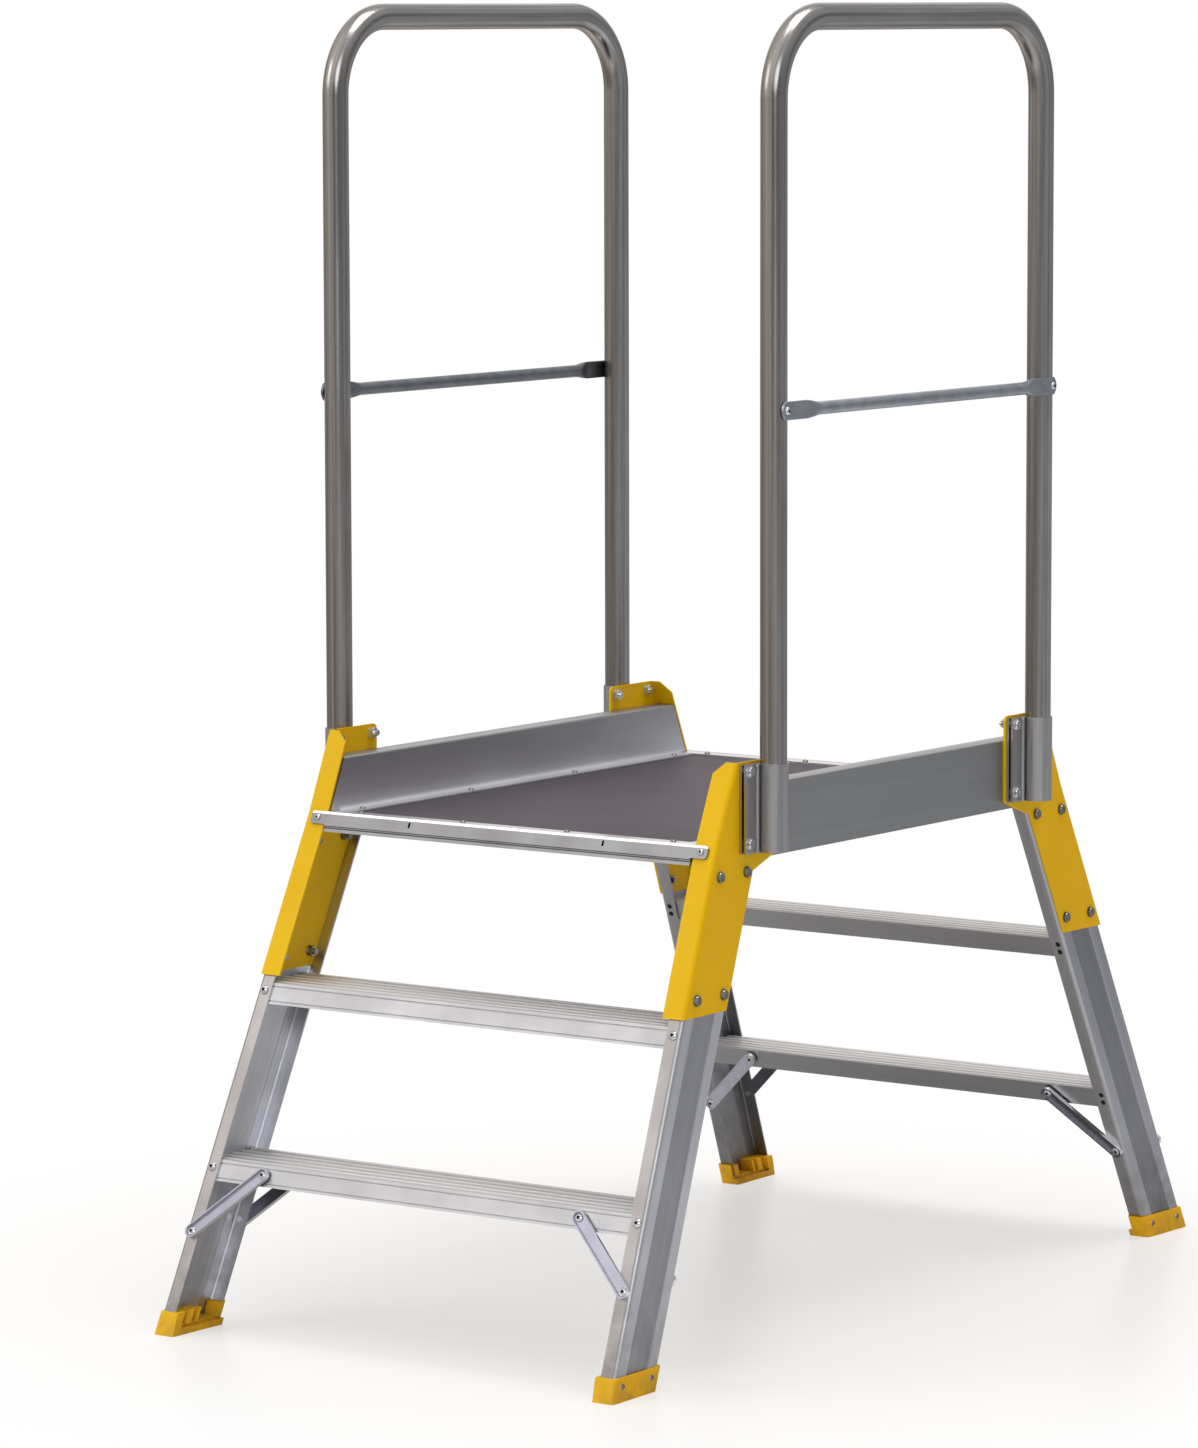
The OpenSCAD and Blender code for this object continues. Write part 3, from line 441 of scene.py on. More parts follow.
@cache
def web_panel() -> bpy.types.NodeTree:
    """Return the group that marks the recessed panel and the climbing face of a stile.

    Its input has the stile's outer climbing corner on the Z axis and the depth of the stile along Y.
    """
    graph, source, sink = open_group(
        "web_panel",
        "ShaderNodeTree",
        {"Vector": Kind.VECTOR, "Band": Kind.VALUE, "Depth": Kind.VALUE},
        {"Panel": Kind.VALUE, "Climb": Kind.VALUE},
    )
    axes = graph.axes(graph.vector("ABSOLUTE", source.outputs["Vector"]))
    deep, band = axes["Y"], source.outputs["Band"]
    near = graph.span(graph.math("SUBTRACT", deep, band), *PANEL_FADE)
    rest = graph.math("SUBTRACT", graph.math("SUBTRACT", source.outputs["Depth"], band), deep)
    far = graph.span(rest, *PANEL_FADE)
    outside = graph.math("LESS_THAN", axes["X"], PANEL_RECESS)
    graph.plug(sink.inputs["Panel"], graph.times(graph.times(near, far), outside))
    graph.plug(sink.inputs["Climb"], graph.math("LESS_THAN", deep, CLIMB_SKIN))
    return graph.tree


@dataclass(frozen=True)
class Dust:
    """Floor dust on the lowest stretch of a piece.

    Attributes:
        reach: Height that it reaches.
        tone: Its colour.
        rough: Roughness that it adds.
    """

    reach: float
    tone: Colour
    rough: float


METAL_DUST = Dust(0.22, (0.20, 0.185, 0.165), 0.35)
COAT_DUST = Dust(0.05, (0.26, 0.19, 0.07), 0.30)


@dataclass
class Surface:
    """A finish while it is put together.

    Attributes:
        graph: Graph of the material.
        colour: Colour so far.
        rough: Roughness so far.
        metallic: Share of metal so far.
    """

    graph: Graph
    colour: Value
    rough: Value
    metallic: Value

    def tint(self, share: Value, colour: Colour, blend: str = "MIX") -> None:
        """Mix a colour in by a share."""
        self.colour = self.graph.mix(share, self.colour, colour, blend)

    def roughen(self, share: Value, amount: float) -> None:
        """Add to the roughness by a share."""
        self.rough = self.graph.math("MULTIPLY_ADD", share, amount, self.rough)

    def lay(self, dust: Dust, place: Socket, share: float) -> None:
        """Lay floor dust on the surface.

        Args:
            dust: The dust.
            place: Coordinates with the height along Z.
            share: How much of it lies at the floor.
        """
        grime = self.graph.effect(floor_grime(), {"Vector": place, "Reach": dust.reach})
        laid = self.graph.times(grime.outputs["Grime"], share)
        self.tint(laid, dust.tone)
        self.roughen(laid, dust.rough)

    def finish(self, shader: bpy.types.Node, height: Socket, strength: float, depth: float) -> None:
        """Join the surface to its shader.

        Args:
            shader: The Principled shader.
            height: Pattern of the relief.
            strength: Strength of the relief.
            depth: Depth of the relief.
        """
        bump = self.graph.add("ShaderNodeBump", {"Strength": strength, "Distance": depth, "Height": height})
        self.graph.plug(shader.inputs["Base Color"], self.colour)
        self.graph.plug(shader.inputs["Roughness"], self.rough)
        self.graph.plug(shader.inputs["Metallic"], self.metallic)
        self.graph.plug(shader.inputs["Normal"], bump.outputs[0])


@dataclass(frozen=True)
class Metal:
    """A drawn, rolled or plated metal.

    Attributes:
        name: Name of the finish.
        tone: Colour of the clean metal.
        shade: Colour of its darker streaks.
        roughness: Mean roughness.
        along: Scale of the grain along the drawing direction.
        across: Scale of the grain across it.
        streak: How far streaks change the roughness.
        relief: Depth of the hairlines in millimetres.
        smudge: How far handling marks dull the surface.
        marks: Scale of those marks.
        hairline: Strength of the hairlines.
        grime: Share of floor dust near the ground.
        highlight_height: Height above which a painted highlight makes the metal bright, or zero.
        rise: Height over which that painted highlight comes in.
        valley: Share of painted shade in the valleys just below that height.
        ridge: Share of painted highlight by which the whole ridged stretch is paler.
        scatter: Share of the light that the ridges scatter.
        low_wall_light: Share of painted light that pales the inner walls beside the deck.
        rim_highlight: Share of painted highlight by which turned-up rims are brighter than the flat between
            them.
    """

    name: str
    tone: Colour
    shade: Colour
    roughness: float
    along: float = 3.0
    across: float = 240.0
    streak: float = 0.16
    relief: float = 0.02
    smudge: float = 0.12
    marks: float = 7.0
    hairline: float = 0.35
    grime: float = 0.0
    highlight_height: float = 0.0
    rise: float = 0.0015
    valley: float = 0.0
    ridge: float = 0.7
    scatter: float = 0.0
    low_wall_light: float = 0.0
    rim_highlight: float = 0.0

    def toned(self, prefix: str, share: float) -> "Metal":
        """Return this metal in a darker or paler tone.

        Args:
            prefix: Word that goes before the name of the finish.
            share: Factor on its colours.

        Returns:
            The toned metal.
        """
        tone = tuple(share * part for part in self.tone)
        shade = tuple(share * part for part in self.shade)
        return replace(self, name=f"{prefix}_{self.name}", tone=tone, shade=shade)

    @staticmethod
    def mark_stile(surface: Surface, place: Socket) -> None:
        """Paint shade into the recessed panel and onto the climbing face of a stile.

        Args:
            surface: The surface to change.
            place: Coordinates with the stile's outer climbing corner on the Z axis.
        """
        sockets = {"Vector": place, "Band": STILE_BAND, "Depth": STILE_DEPTH}
        marks = surface.graph.effect(web_panel(), sockets).outputs
        surface.tint(marks["Panel"], PANEL_SHADE, "MULTIPLY")
        surface.tint(marks["Climb"], CLIMB_SHADE, "MULTIPLY")
        surface.roughen(marks["Panel"], PANEL_ROUGHNESS)

    def paint_ridge_light(self, surface: Surface, height: Socket) -> None:
        """Paint a highlight on the crests; where there are valleys, also paint the ridged stretch paler,
        paint shade into the valleys and let the ridged stretch scatter light.

        Args:
            surface: The surface to change.
            height: Height above the floor.
        """
        graph = surface.graph
        # Painted highlight: the crests are mixed towards a pale colour.
        surface.tint(graph.span(height, self.highlight_height, self.highlight_height + self.rise), CREST_HIGHLIGHT)
        if self.valley:
            below = graph.span(height, self.highlight_height - self.rise, self.highlight_height, self.valley, 0.0)
            ridged = graph.math("GREATER_THAN", height, self.highlight_height - 2 * self.rise)
            # Painted highlight over the ridged stretch, and painted shade in the valleys below the crests.
            surface.tint(graph.times(ridged, self.ridge), CREST_HIGHLIGHT)
            surface.tint(graph.times(below, ridged), VALLEY_SHADE)
            surface.metallic = graph.math("MULTIPLY_ADD", ridged, -self.scatter, 1.0)

    def paint_wall_light(self, surface: Surface, aside: Socket, height: Socket) -> None:
        """Paint light onto the walls beside the deck, most of all low down.

        Args:
            surface: The surface to change.
            aside: Place across the deck.
            height: Height above the floor.
        """
        graph = surface.graph
        low = graph.span(height, DECK_TOP, BOARD_TOP, self.low_wall_light, WALL_LIGHT_AT_TOP * self.low_wall_light)
        inner = graph.math("LESS_THAN", graph.math("ABSOLUTE", aside), BOARD_INNER_WALL)
        pale = graph.times(low, inner)
        surface.tint(pale, WALL_LIGHT_TONE)
        surface.roughen(pale, WALL_LIGHT_ROUGHNESS)

    def paint_rim_highlight(self, surface: Surface) -> None:
        """Paint a highlight on the faces that are turned away from the front and the rear.

        Args:
            surface: The surface to change.
        """
        facing = surface.graph.add("ShaderNodeTexCoord").outputs["Normal"]
        flat = surface.graph.math("ABSOLUTE", surface.graph.axes(facing)["Y"])
        surface.tint(surface.graph.span(flat, *RIM_SPAN, self.rim_highlight, 0.0), RIM_HIGHLIGHT)

    @cache
    def material(self, run: Run) -> bpy.types.Material:
        """Make the finish for one drawing direction.

        Args:
            run: Direction that the piece was drawn in.

        Returns:
            The material.
        """
        material, graph, shader = new_material(f"{self.name}_{run.name.lower()}")
        place = place_of(graph, run)
        whole = graph.place()
        axes = graph.axes(whole)
        sockets = {"Vector": place, "Along": self.along, "Across": self.across}
        grain = graph.effect(drawn_grain(), sockets).outputs
        marks = graph.effect(handling_marks(), {"Vector": whole, "Scale": self.marks})
        colour = graph.mix(graph.span(grain["Streak"], *STREAK_SPAN), self.shade, self.tone)
        smooth = self.roughness - self.streak / 2
        rough = graph.math("MULTIPLY_ADD", grain["Streak"], self.streak, smooth)
        surface = Surface(graph, colour, rough, 1.0)
        dull = graph.times(marks.outputs["Smudge"], self.smudge)
        surface.tint(dull, tuple(SMUDGE_DARKNESS * part for part in self.shade))
        surface.roughen(dull, SMUDGE_ROUGHNESS)
        if run.is_stile:
            self.mark_stile(surface, place)
        if self.highlight_height:
            self.paint_ridge_light(surface, axes["Z"])
        if self.low_wall_light:
            self.paint_wall_light(surface, axes["X"], axes["Z"])
        if self.rim_highlight:
            self.paint_rim_highlight(surface)
        if self.grime:
            surface.lay(METAL_DUST, whole, self.grime)
        surface.finish(shader, grain["Hairline"], self.hairline, self.relief / 1000)
        return material


@dataclass(frozen=True)
class Coat:
    """A coloured skin: powder paint or moulded plastic.

    Attributes:
        name: Name of the finish.
        tone: Main colour.
        deep: Colour of its slightly deeper clouds.
        roughness: Mean roughness.
        peel: Scale of the fine waves in its skin.
        relief: Depth of those waves in millimetres.
        gloss: Weight of the clear layer.
        grime: Share of floor dust near the ground.
        clouds: Scale of the clouds.
        marks: Scale of the handling marks.
        smudge: Roughness that those marks add.
        specular: Level of its plain reflection.
        clear_rough: Roughness of the clear layer.
        waves: Strength of the fine waves.
    """

    name: str
    tone: Colour
    deep: Colour
    roughness: float
    peel: float
    relief: float
    gloss: float = 0.0
    grime: float = 0.0
    clouds: float = 5.0
    marks: float = 9.0
    smudge: float = 0.10
    specular: float = 0.11
    clear_rough: float = 0.12
    waves: float = 0.4

    @cache
    def material(self) -> bpy.types.Material:
        """Make the finish.

        Returns:
            The material.
        """
        material, graph, shader = new_material(self.name)
        place = graph.place()
        marks = graph.effect(handling_marks(), {"Vector": place, "Scale": self.marks}).outputs
        colour = graph.mix(graph.span(graph.noise(place, self.clouds), *CLOUD_SPAN), self.tone, self.deep)
        rough = graph.math("MULTIPLY_ADD", marks["Smudge"], self.smudge, self.roughness)
        surface = Surface(graph, colour, rough, 0.0)
        surface.tint(graph.times(marks["Speck"], SPECK_SHARE), COAT_SPECK)
        if self.grime:
            surface.lay(COAT_DUST, place, self.grime)
        graph.plug(shader.inputs["Specular IOR Level"], self.specular)
        graph.plug(shader.inputs["Coat Weight"], self.gloss)
        graph.plug(shader.inputs["Coat Roughness"], self.clear_rough)
        surface.finish(shader, graph.noise(place, self.peel, 2.0), self.waves, self.relief / 1000)
        return material


@dataclass(frozen=True)
class DeckFilm:
    """Dark film on plywood, with a fine pressed mesh and a painted shadow along the toe boards' feet.

    Attributes:
        name: Name of the finish.
        tone: Colour of the film.
        worn: Colour of its paler clouds.
        pitch: Distance between the lines of the mesh.
        joint: Distance from the middle to the toe boards' feet, where shadow is painted.
        relief: Depth of the mesh.
        emboss: Strength of its relief.
        marks: Scale of the handling marks.
        weave: Scale of the pale rows along X, Y and Z.
        paling: Factor on the colour in those rows.
        rough: Roughness in the valleys and on the crests of the mesh.
        mesh_wear: Share of the paler colour on the crests.
        smudge_wear: Share of the paler colour in smudges.
        joint_shadow: Share of painted shadow at the joint.
        shadow_reach: Distances from the joint at which the painted shadow begins and is full.
    """

    name: str
    tone: Colour
    worn: Colour
    pitch: float
    joint: float
    relief: float = 0.0003
    emboss: float = 0.5
    marks: float = 5.0
    weave: tuple[float, float, float] = (3.0, 90.0, 3.0)
    paling: float = 1.18
    rough: tuple[float, float] = (0.62, 0.46)
    mesh_wear: float = 0.25
    smudge_wear: float = 0.35
    joint_shadow: float = 0.9
    shadow_reach: tuple[float, float] = (0.007, 0.002)

    @cache
    def material(self) -> bpy.types.Material:
        """Make the finish.

        Returns:
            The material.
        """
        material, graph, shader = new_material(self.name)
        place = graph.place()
        axes = graph.axes(place)
        turn = 2 * math.pi / self.pitch
        waves = [graph.math("SINE", graph.times(axes[key], turn)) for key in ("X", "Y")]
        mesh = graph.span(graph.times(*waves), *MESH_SPAN)
        weft = graph.noise(graph.vector("MULTIPLY", place, self.weave), 1.0)
        marks = graph.effect(handling_marks(), {"Vector": place, "Scale": self.marks})
        paler = tuple(self.paling * part for part in self.tone)
        colour = graph.mix(graph.span(weft, *CLOUD_SPAN), self.tone, paler)
        surface = Surface(graph, colour, graph.span(mesh, 0.0, 1.0, *self.rough), 0.0)
        surface.tint(graph.times(mesh, self.mesh_wear), self.worn)
        surface.tint(graph.times(marks.outputs["Smudge"], self.smudge_wear), self.worn)
        # Painted shadow along the gap under the toe boards' feet.
        aside = graph.math("ABSOLUTE", axes["X"])
        joint_shadow = graph.span(aside, *(self.joint - reach for reach in self.shadow_reach))
        surface.tint(graph.times(joint_shadow, self.joint_shadow), JOINT_SHADOW)
        surface.finish(shader, mesh, self.emboss, self.relief)
        return material


MILL = Metal("mill_aluminium", (0.66, 0.66, 0.69), (0.57, 0.57, 0.60), 0.36, grime=0.5)
TREAD = Metal(
    "tread_aluminium",
    (0.55, 0.555, 0.58),
    (0.50, 0.505, 0.53),
    0.36,
    along=2.0,
    across=160.0,
    rise=0.0006,
    valley=0.4,
    scatter=0.55,
)
TUBE = Metal(
    "tube_aluminium",
    (0.54, 0.525, 0.51),
    (0.29, 0.27, 0.25),
    0.20,
    along=1.2,
    across=210.0,
    streak=0.2,
    smudge=0.2,
)
# The toe boards carry painted light low on their inner walls.
BOARD = Metal(
    "board_aluminium",
    (0.41, 0.41, 0.41),
    (0.38, 0.38, 0.38),
    0.38,
    along=1.6,
    across=190.0,
    streak=0.06,
    relief=0.008,
    low_wall_light=0.62,
)
# The deck edge's top carries a painted highlight line.
NOSE = Metal("edge_aluminium", (0.25, 0.25, 0.26), (0.21, 0.21, 0.22), 0.28, highlight_height=0.6995)
CLAMP = Metal("clamp_aluminium", (0.57, 0.565, 0.56), (0.46, 0.45, 0.45), 0.32)
ZINC = Metal(
    "zinc_plate", (0.50, 0.52, 0.56), (0.38, 0.40, 0.44), 0.34, along=40.0, across=60.0, streak=0.2
)
BRACE = Metal(
    "brace_plate", (0.44, 0.45, 0.54), (0.36, 0.37, 0.45), 0.30, along=30.0, across=60.0, rim_highlight=1.0
)
BRIGHT = Metal(
    "bright_plate", (0.80, 0.81, 0.83), (0.66, 0.67, 0.70), 0.14, along=60.0, across=60.0, streak=0.08
)
BOLT = Metal(
    "bolt_plate", (0.36, 0.355, 0.33), (0.23, 0.225, 0.21), 0.16, along=60.0, across=60.0, streak=0.08
)
# Near-black steel for the tread pins, also used as painted shade inside the rivet heads' pulled holes.
DARK_STEEL_AND_HOLE_SHADE = Metal(
    "dark_steel_and_hole_shade", (0.045, 0.045, 0.050), (0.025, 0.025, 0.030), 0.48, along=60.0, across=60.0
)
PAINT = Coat("powder_yellow", (0.86, 0.535, 0.002), (0.80, 0.485, 0.002), 0.36, 900.0, 0.03, gloss=0.05)
MOULDED = Coat("yellow_moulding", (0.95, 0.545, 0.012), (0.89, 0.48, 0.010), 0.44, 1500.0, 0.04, grime=0.6)
FILM = DeckFilm("deck_film", (0.048, 0.036, 0.050), (0.092, 0.072, 0.094), 0.0022, 0.2875)

# Factors on the colours, matched to how light or dark each piece shows in the photograph. They stand in
# for reflections that the studio does not give, so twin pieces differ; 1.0 throughout gives an even finish.
STILE_FACTORS = {"front_left": 1.0, "front_right": 1.0, "rear_left": 0.64, "rear_right": 0.80}
BRACE_FACTORS = {"front_left": 0.50, "front_right": 0.85, "rear_left": 1.65, "rear_right": 0.36}
TREAD_FACTORS = {"front": 1.0, "rear": 0.82}
MID_RAIL_FACTORS = {"left": 0.58, "right": 1.0}


def dress(names: Sequence[str], material: bpy.types.Material) -> None:
    """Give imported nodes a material.

    Args:
        names: Names of the nodes.
        material: The material.
    """
    for name in names:
        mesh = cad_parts[name].data
        mesh.materials.clear()
        mesh.materials.append(material)
        log.info("dressed %s in %s", name, material.name)


def add_mesh(name: str, mesh: bpy.types.Mesh, body: str) -> bpy.types.Object:
    """Put a finished mesh into the scene.

    Args:
        name: Name of the piece.
        mesh: Its mesh, already in place.
        body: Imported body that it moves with.

    Returns:
        The piece.
    """
    piece = bpy.data.objects.new(name, mesh)
    bpy.context.scene.collection.objects.link(piece)
    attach(piece, body)
    log.info("built %s with %d faces on %s", name, len(mesh.polygons), body)
    return piece


def ring_faces(rows: int, around: int, flipped: bool = False) -> list[tuple[int, ...]]:
    """Join rings of points to the rings after them.

    Args:
        rows: Number of rings.
        around: Points in each ring.
        flipped: Whether the rings run the other way round.

    Returns:
        The faces between the rings.
    """
    faces = []
    for row in range(rows - 1):
        for step in range(around):
            a, b = row * around + step, row * around + (step + 1) % around
            face = (a, a + around, b + around, b) if flipped else (a, b, b + around, a + around)
            faces.append(face)
    return faces


def grow(
    name: str, seed: bpy.types.Mesh, tree: bpy.types.NodeTree, values: dict[str, object]
) -> bpy.types.Mesh:
    """Run a geometry tree on a mesh and keep the result as a plain mesh.

    Args:
        name: Name of the new mesh.
        seed: The mesh that the tree starts from.
        tree: The geometry tree.
        values: Values of its named inputs.

    Returns:
        The finished mesh.
    """
    holder = bpy.data.objects.new(f"{name}_seed", seed)
    bpy.context.scene.collection.objects.link(holder)
    modifier = holder.modifiers.new("grow", "NODES")
    modifier.node_group = tree
    for item in tree.interface.items_tree:
        if item.in_out == "INPUT" and item.name in values:
            modifier[item.identifier] = values[item.name]
    bpy.context.view_layer.update()
    grown = holder.evaluated_get(bpy.context.evaluated_depsgraph_get())
    mesh = bpy.data.meshes.new_from_object(grown)
    mesh.name = name
    holder.modifiers.remove(modifier)
    bpy.data.objects.remove(holder)
    return mesh


@dataclass
class LadderFrames:
    """The two leaning ladder frames: stiles, treads, knee braces and feet."""

    def dress(self) -> None:
        """Give the frames their metals and the feet their plastic."""
        for corner in CORNERS:
            mill = MILL.toned(corner, STILE_FACTORS[corner])
            inner = BRACE.toned(corner, BRACE_FACTORS[corner])
            dress([f"{corner}_stile"], mill.material(Run[corner.upper()]))
            dress([f"{corner}_outer_brace"], BRACE.material(Run.UPRIGHT))
            dress([f"{corner}_inner_brace"], inner.material(Run.UPRIGHT))
            dress([f"{corner}_foot"], MOULDED.material())
        for level in ("upper", "lower"):
            _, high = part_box(f"front_{level}_tread")
            # Painted highlight on the tread crests, and painted shade in their valleys.
            ridged = replace(TREAD, name=f"{level}_{TREAD.name}", highlight_height=high.z - TREAD_RIDGE)
            for end in ENDS:
                metal = ridged.toned(end, TREAD_FACTORS[end])
                dress([f"{end}_{level}_tread"], metal.material(Run.ALONG_TREADS))


@dataclass
class Brackets:
    """Corner brackets with their backing plates and clamp sockets."""

    def dress(self) -> None:
        """Give the folded sheets their paint and the sockets their metal."""
        for corner in CORNERS:
            dress([f"{corner}_bracket", f"{corner}_backing"], PAINT.material())
            dress([f"{corner}_socket"], CLAMP.material(Run.UPRIGHT))


@dataclass
class Deck:
    """Deck panel with its edges and toe boards."""

    def dress(self) -> None:
        """Give the panel its film and the extrusions round it their metal."""
        dress(["deck_panel"], FILM.material())
        dress(["front_deck_edge", "rear_deck_edge"], NOSE.material(Run.ALONG_TREADS))
        dress(["left_toe_board", "right_toe_board"], BOARD.material(Run.FRONT_TO_BACK))


@dataclass
class Handrails:
    """Bent tubes over the two sides, each with its mid rail.

    Attributes:
        bend: Radius of the bends on the tube's centre line.
        turns: Points along one bend.
        around: Points round the tube.
        mid_radius: Radius of the mid rail's round stretch.
        mid_flat: Thickness of its flattened ends.
        mid_land: Length of those ends behind the rivet.
        mid_press: Length of the pressed shoulder.
        mid_tip: Distance from the rivet to the tip, as a share of the end's half height.
        mid_bow: Radius of the rounded tip, as a share of the end's half height.
        round_power: Squareness of the round sections.
        flat_power: Squareness of the flattened sections.
        tip_steps: Distances of the last sections from the tip.
    """

    bend: float = 0.110
    turns: int = 20
    around: int = 48
    mid_radius: float = 0.009
    mid_flat: float = 0.004
    mid_land: float = 0.046
    mid_press: float = 0.0324
    mid_tip: float = 0.76
    mid_bow: float = 1.4
    round_power: float = 2.0
    flat_power: float = 7.0
    tip_steps: tuple[float, ...] = (0.0052, 0.0040, 0.0030, 0.0020, 0.0011, 0.0004, 0.00005)

    @staticmethod
    @cache
    def tube_tree() -> bpy.types.NodeTree:
        """Return the tree that bends a line of edges into a tube and keeps its straightened place."""
        graph, source, sink = open_group(
            "bent_tube",
            "GeometryNodeTree",
            {
                "Line": Kind.SHAPE,
                "Bend": Kind.VALUE,
                "Turns": Kind.COUNT,
                "Radius": Kind.VALUE,
                "Around": Kind.COUNT,
                "Finish": Kind.FINISH,
            },
            {"Tube": Kind.SHAPE},
        )
        given = source.outputs
        line = graph.first("GeometryNodeMeshToCurve", {0: given["Line"]})
        corners = {"Curve": line, "Radius": given["Bend"], 1: given["Turns"]}
        bent = graph.first("GeometryNodeFilletCurve", corners, mode="POLY")
        held = graph.add("GeometryNodeCaptureAttribute", {"Geometry": bent}, domain="POINT")
        held.capture_items.new("FLOAT", "along")
        graph.plug(held.inputs["along"], graph.add("GeometryNodeSplineParameter").outputs["Length"])
        circle = {"Resolution": given["Around"], "Radius": given["Radius"]}
        ring = graph.first("GeometryNodeCurvePrimitiveCircle", circle, mode="RADIUS")
        kept = graph.add("GeometryNodeCaptureAttribute", {"Geometry": ring}, domain="POINT")
        kept.capture_items.new("VECTOR", "round")
        graph.plug(kept.inputs["round"], graph.first("GeometryNodeInputPosition"))
        sweep = {"Curve": held.outputs[0], "Profile Curve": kept.outputs[0], "Fill Caps": True}
        tube = graph.first("GeometryNodeCurveToMesh", sweep)
        lift = graph.first("ShaderNodeCombineXYZ", {2: held.outputs["along"]})
        place = graph.vector("ADD", kept.outputs["round"], lift)
        mark = {"Geometry": tube, "Name": "straight", "Value": place}
        settings = {"data_type": "FLOAT_VECTOR", "domain": "POINT"}
        marked = graph.first("GeometryNodeStoreNamedAttribute", mark, **settings)
        whole = graph.first("GeometryNodeRealizeInstances", {0: marked})
        smooth = graph.first("GeometryNodeSetShadeSmooth", {0: whole})
        done = graph.first("GeometryNodeSetMaterial", {"Geometry": smooth, "Material": given["Finish"]})
        graph.plug(sink.inputs["Tube"], done)
        return graph.tree

    def build_tube(self, side: str) -> bpy.types.Object:
        """Make one handrail.

        Args:
            side: Side of the deck.

        Returns:
            The bent tube.
        """
        low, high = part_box(f"{side}_handrail")
        radius = (high.x - low.x) / 2
        x, y, top = (low.x + high.x) / 2, high.y - radius, high.z - radius
        seed = bpy.data.meshes.new(f"{side}_rail_line")
        points = [(x, -y, low.z), (x, -y, top), (x, y, top), (x, y, low.z)]
        seed.from_pydata(points, [(0, 1), (1, 2), (2, 3)], [])
        values = {
            "Bend": self.bend,
            "Turns": self.turns,
            "Radius": radius,
            "Around": self.around,
            "Finish": TUBE.material(Run.TUBE),
        }
        mesh = grow(f"{side}_rail_tube", seed, self.tube_tree(), values)
        piece = add_mesh(f"{side}_rail_tube", mesh, f"{side}_rail")
        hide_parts(f"{side}_handrail")
        return piece

    def stations(self, half: float, high: float) -> Iterator[tuple[float, float, float, float]]:
        """List the cross sections of a mid rail from its middle to one tip.

        Args:
            half: Half the length of the mid rail.
            high: Half the height of its flattened end.

        Yields:
            Distance from the middle, half thickness, half height and squareness of each section.
        """
        radius, thin = self.mid_radius, self.mid_flat / 2
        land = half - self.mid_tip * high - self.mid_land
        for step in range(4):
            yield (land - self.mid_press) * step / 3, radius, radius, self.round_power
        for step in range(1, 13):
            part = step / 12
            ease = part * part * (3 - 2 * part)
            wide = radius + (thin - radius) * ease
            tall = radius + (high - radius) * ease
            power = self.round_power + (self.flat_power - self.round_power) * ease
            yield land - self.mid_press * (1 - part), wide, tall, power
        bow = self.mid_bow * high
        for left in self.tip_steps:
            reach = math.sqrt(bow * bow - (bow - left) ** 2)
            yield half - left, thin, min(high, reach), self.flat_power

    def build_mid(self, side: str) -> bpy.types.Object:
        """Make one mid rail: a round tube pressed flat at both ends.

        Args:
            side: Side of the deck.

        Returns:
            The mid rail.
        """
        low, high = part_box(f"{side}_mid_rail")
        middle, size = (low + high) / 2, high - low
        out = list(self.stations(size.y / 2, size.z / 2))
        rows = [(-y, *rest) for y, *rest in reversed(out[1:])] + out
        points = []
        for y, wide, tall, square in rows:
            for step in range(self.around):
                turn = 2 * math.pi * step / self.around
                across, up = math.cos(turn), math.sin(turn)
                points.append((
                    middle.x + wide * math.copysign(abs(across) ** (2 / square), across),
                    middle.y + y,
                    middle.z + tall * math.copysign(abs(up) ** (2 / square), up),
                ))
        faces = ring_faces(len(rows), self.around, flipped=True)
        faces.append(tuple(range(self.around)))
        faces.append(tuple(reversed(range(len(points) - self.around, len(points)))))
        mesh = bpy.data.meshes.new(f"{side}_mid_bar")
        mesh.from_pydata(points, [], faces)
        metal = ZINC.toned(side, MID_RAIL_FACTORS[side])
        mesh.materials.append(metal.material(Run.FRONT_TO_BACK))
        mesh.shade_smooth()
        mesh.set_sharp_from_angle(angle=SHARP_EDGE)
        piece = add_mesh(f"{side}_mid_bar", mesh, f"{side}_rail")
        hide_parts(f"{side}_mid_rail")
        return piece

    def build(self) -> None:
        """Make both handrails with their mid rails."""
        for side in SIDES:
            self.build_tube(side)
            self.build_mid(side)


@dataclass(frozen=True)
class Seat:
    """Where one fastener's head sits.

    Attributes:
        place: Middle of the face that the head sits on.
        facing: Unit vector out of that face.
        radius: Radius of the head.
        height: Height of the head.
    """

    place: Vector
    facing: Vector
    radius: float
    height: float


HEAD_RIM = 0.97


def loose_pieces(mesh: bpy.types.Mesh) -> Iterator[tuple[np.ndarray, np.ndarray]]:
    """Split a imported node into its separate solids.

    Args:
        mesh: Mesh of the node.

    Yields:
        The corners of each solid and the middles of its faces weighted by area, as two arrays.
    """
    points = np.empty(3 * len(mesh.vertices))
    mesh.vertices.foreach_get("co", points)
    points = points.reshape(-1, 3)
    _, same = np.unique(np.round(points, 6), axis=0, return_inverse=True)
    owner = np.arange(same.max() + 1)

    def root(index: int) -> int:
        """Follow a corner to the first corner of its solid.

        Args:
            index: Number of the corner.

        Returns:
            Number of the first corner.
        """
        while owner[index] != index:
            owner[index] = owner[owner[index]]
            index = owner[index]
        return index

    rings = [[int(same[index]) for index in face.vertices] for face in mesh.polygons]
    for ring in rings:
        first = root(ring[0])
        for index in ring[1:]:
            owner[root(index)] = first
    groups: dict[int, list[int]] = {}
    for number, ring in enumerate(rings):
        groups.setdefault(root(ring[0]), []).append(number)
    for numbers in groups.values():
        corners = {index for number in numbers for index in mesh.polygons[number].vertices}
        middles = [(*mesh.polygons[number].center, mesh.polygons[number].area) for number in numbers]
        yield points[sorted(corners)], np.array(middles)


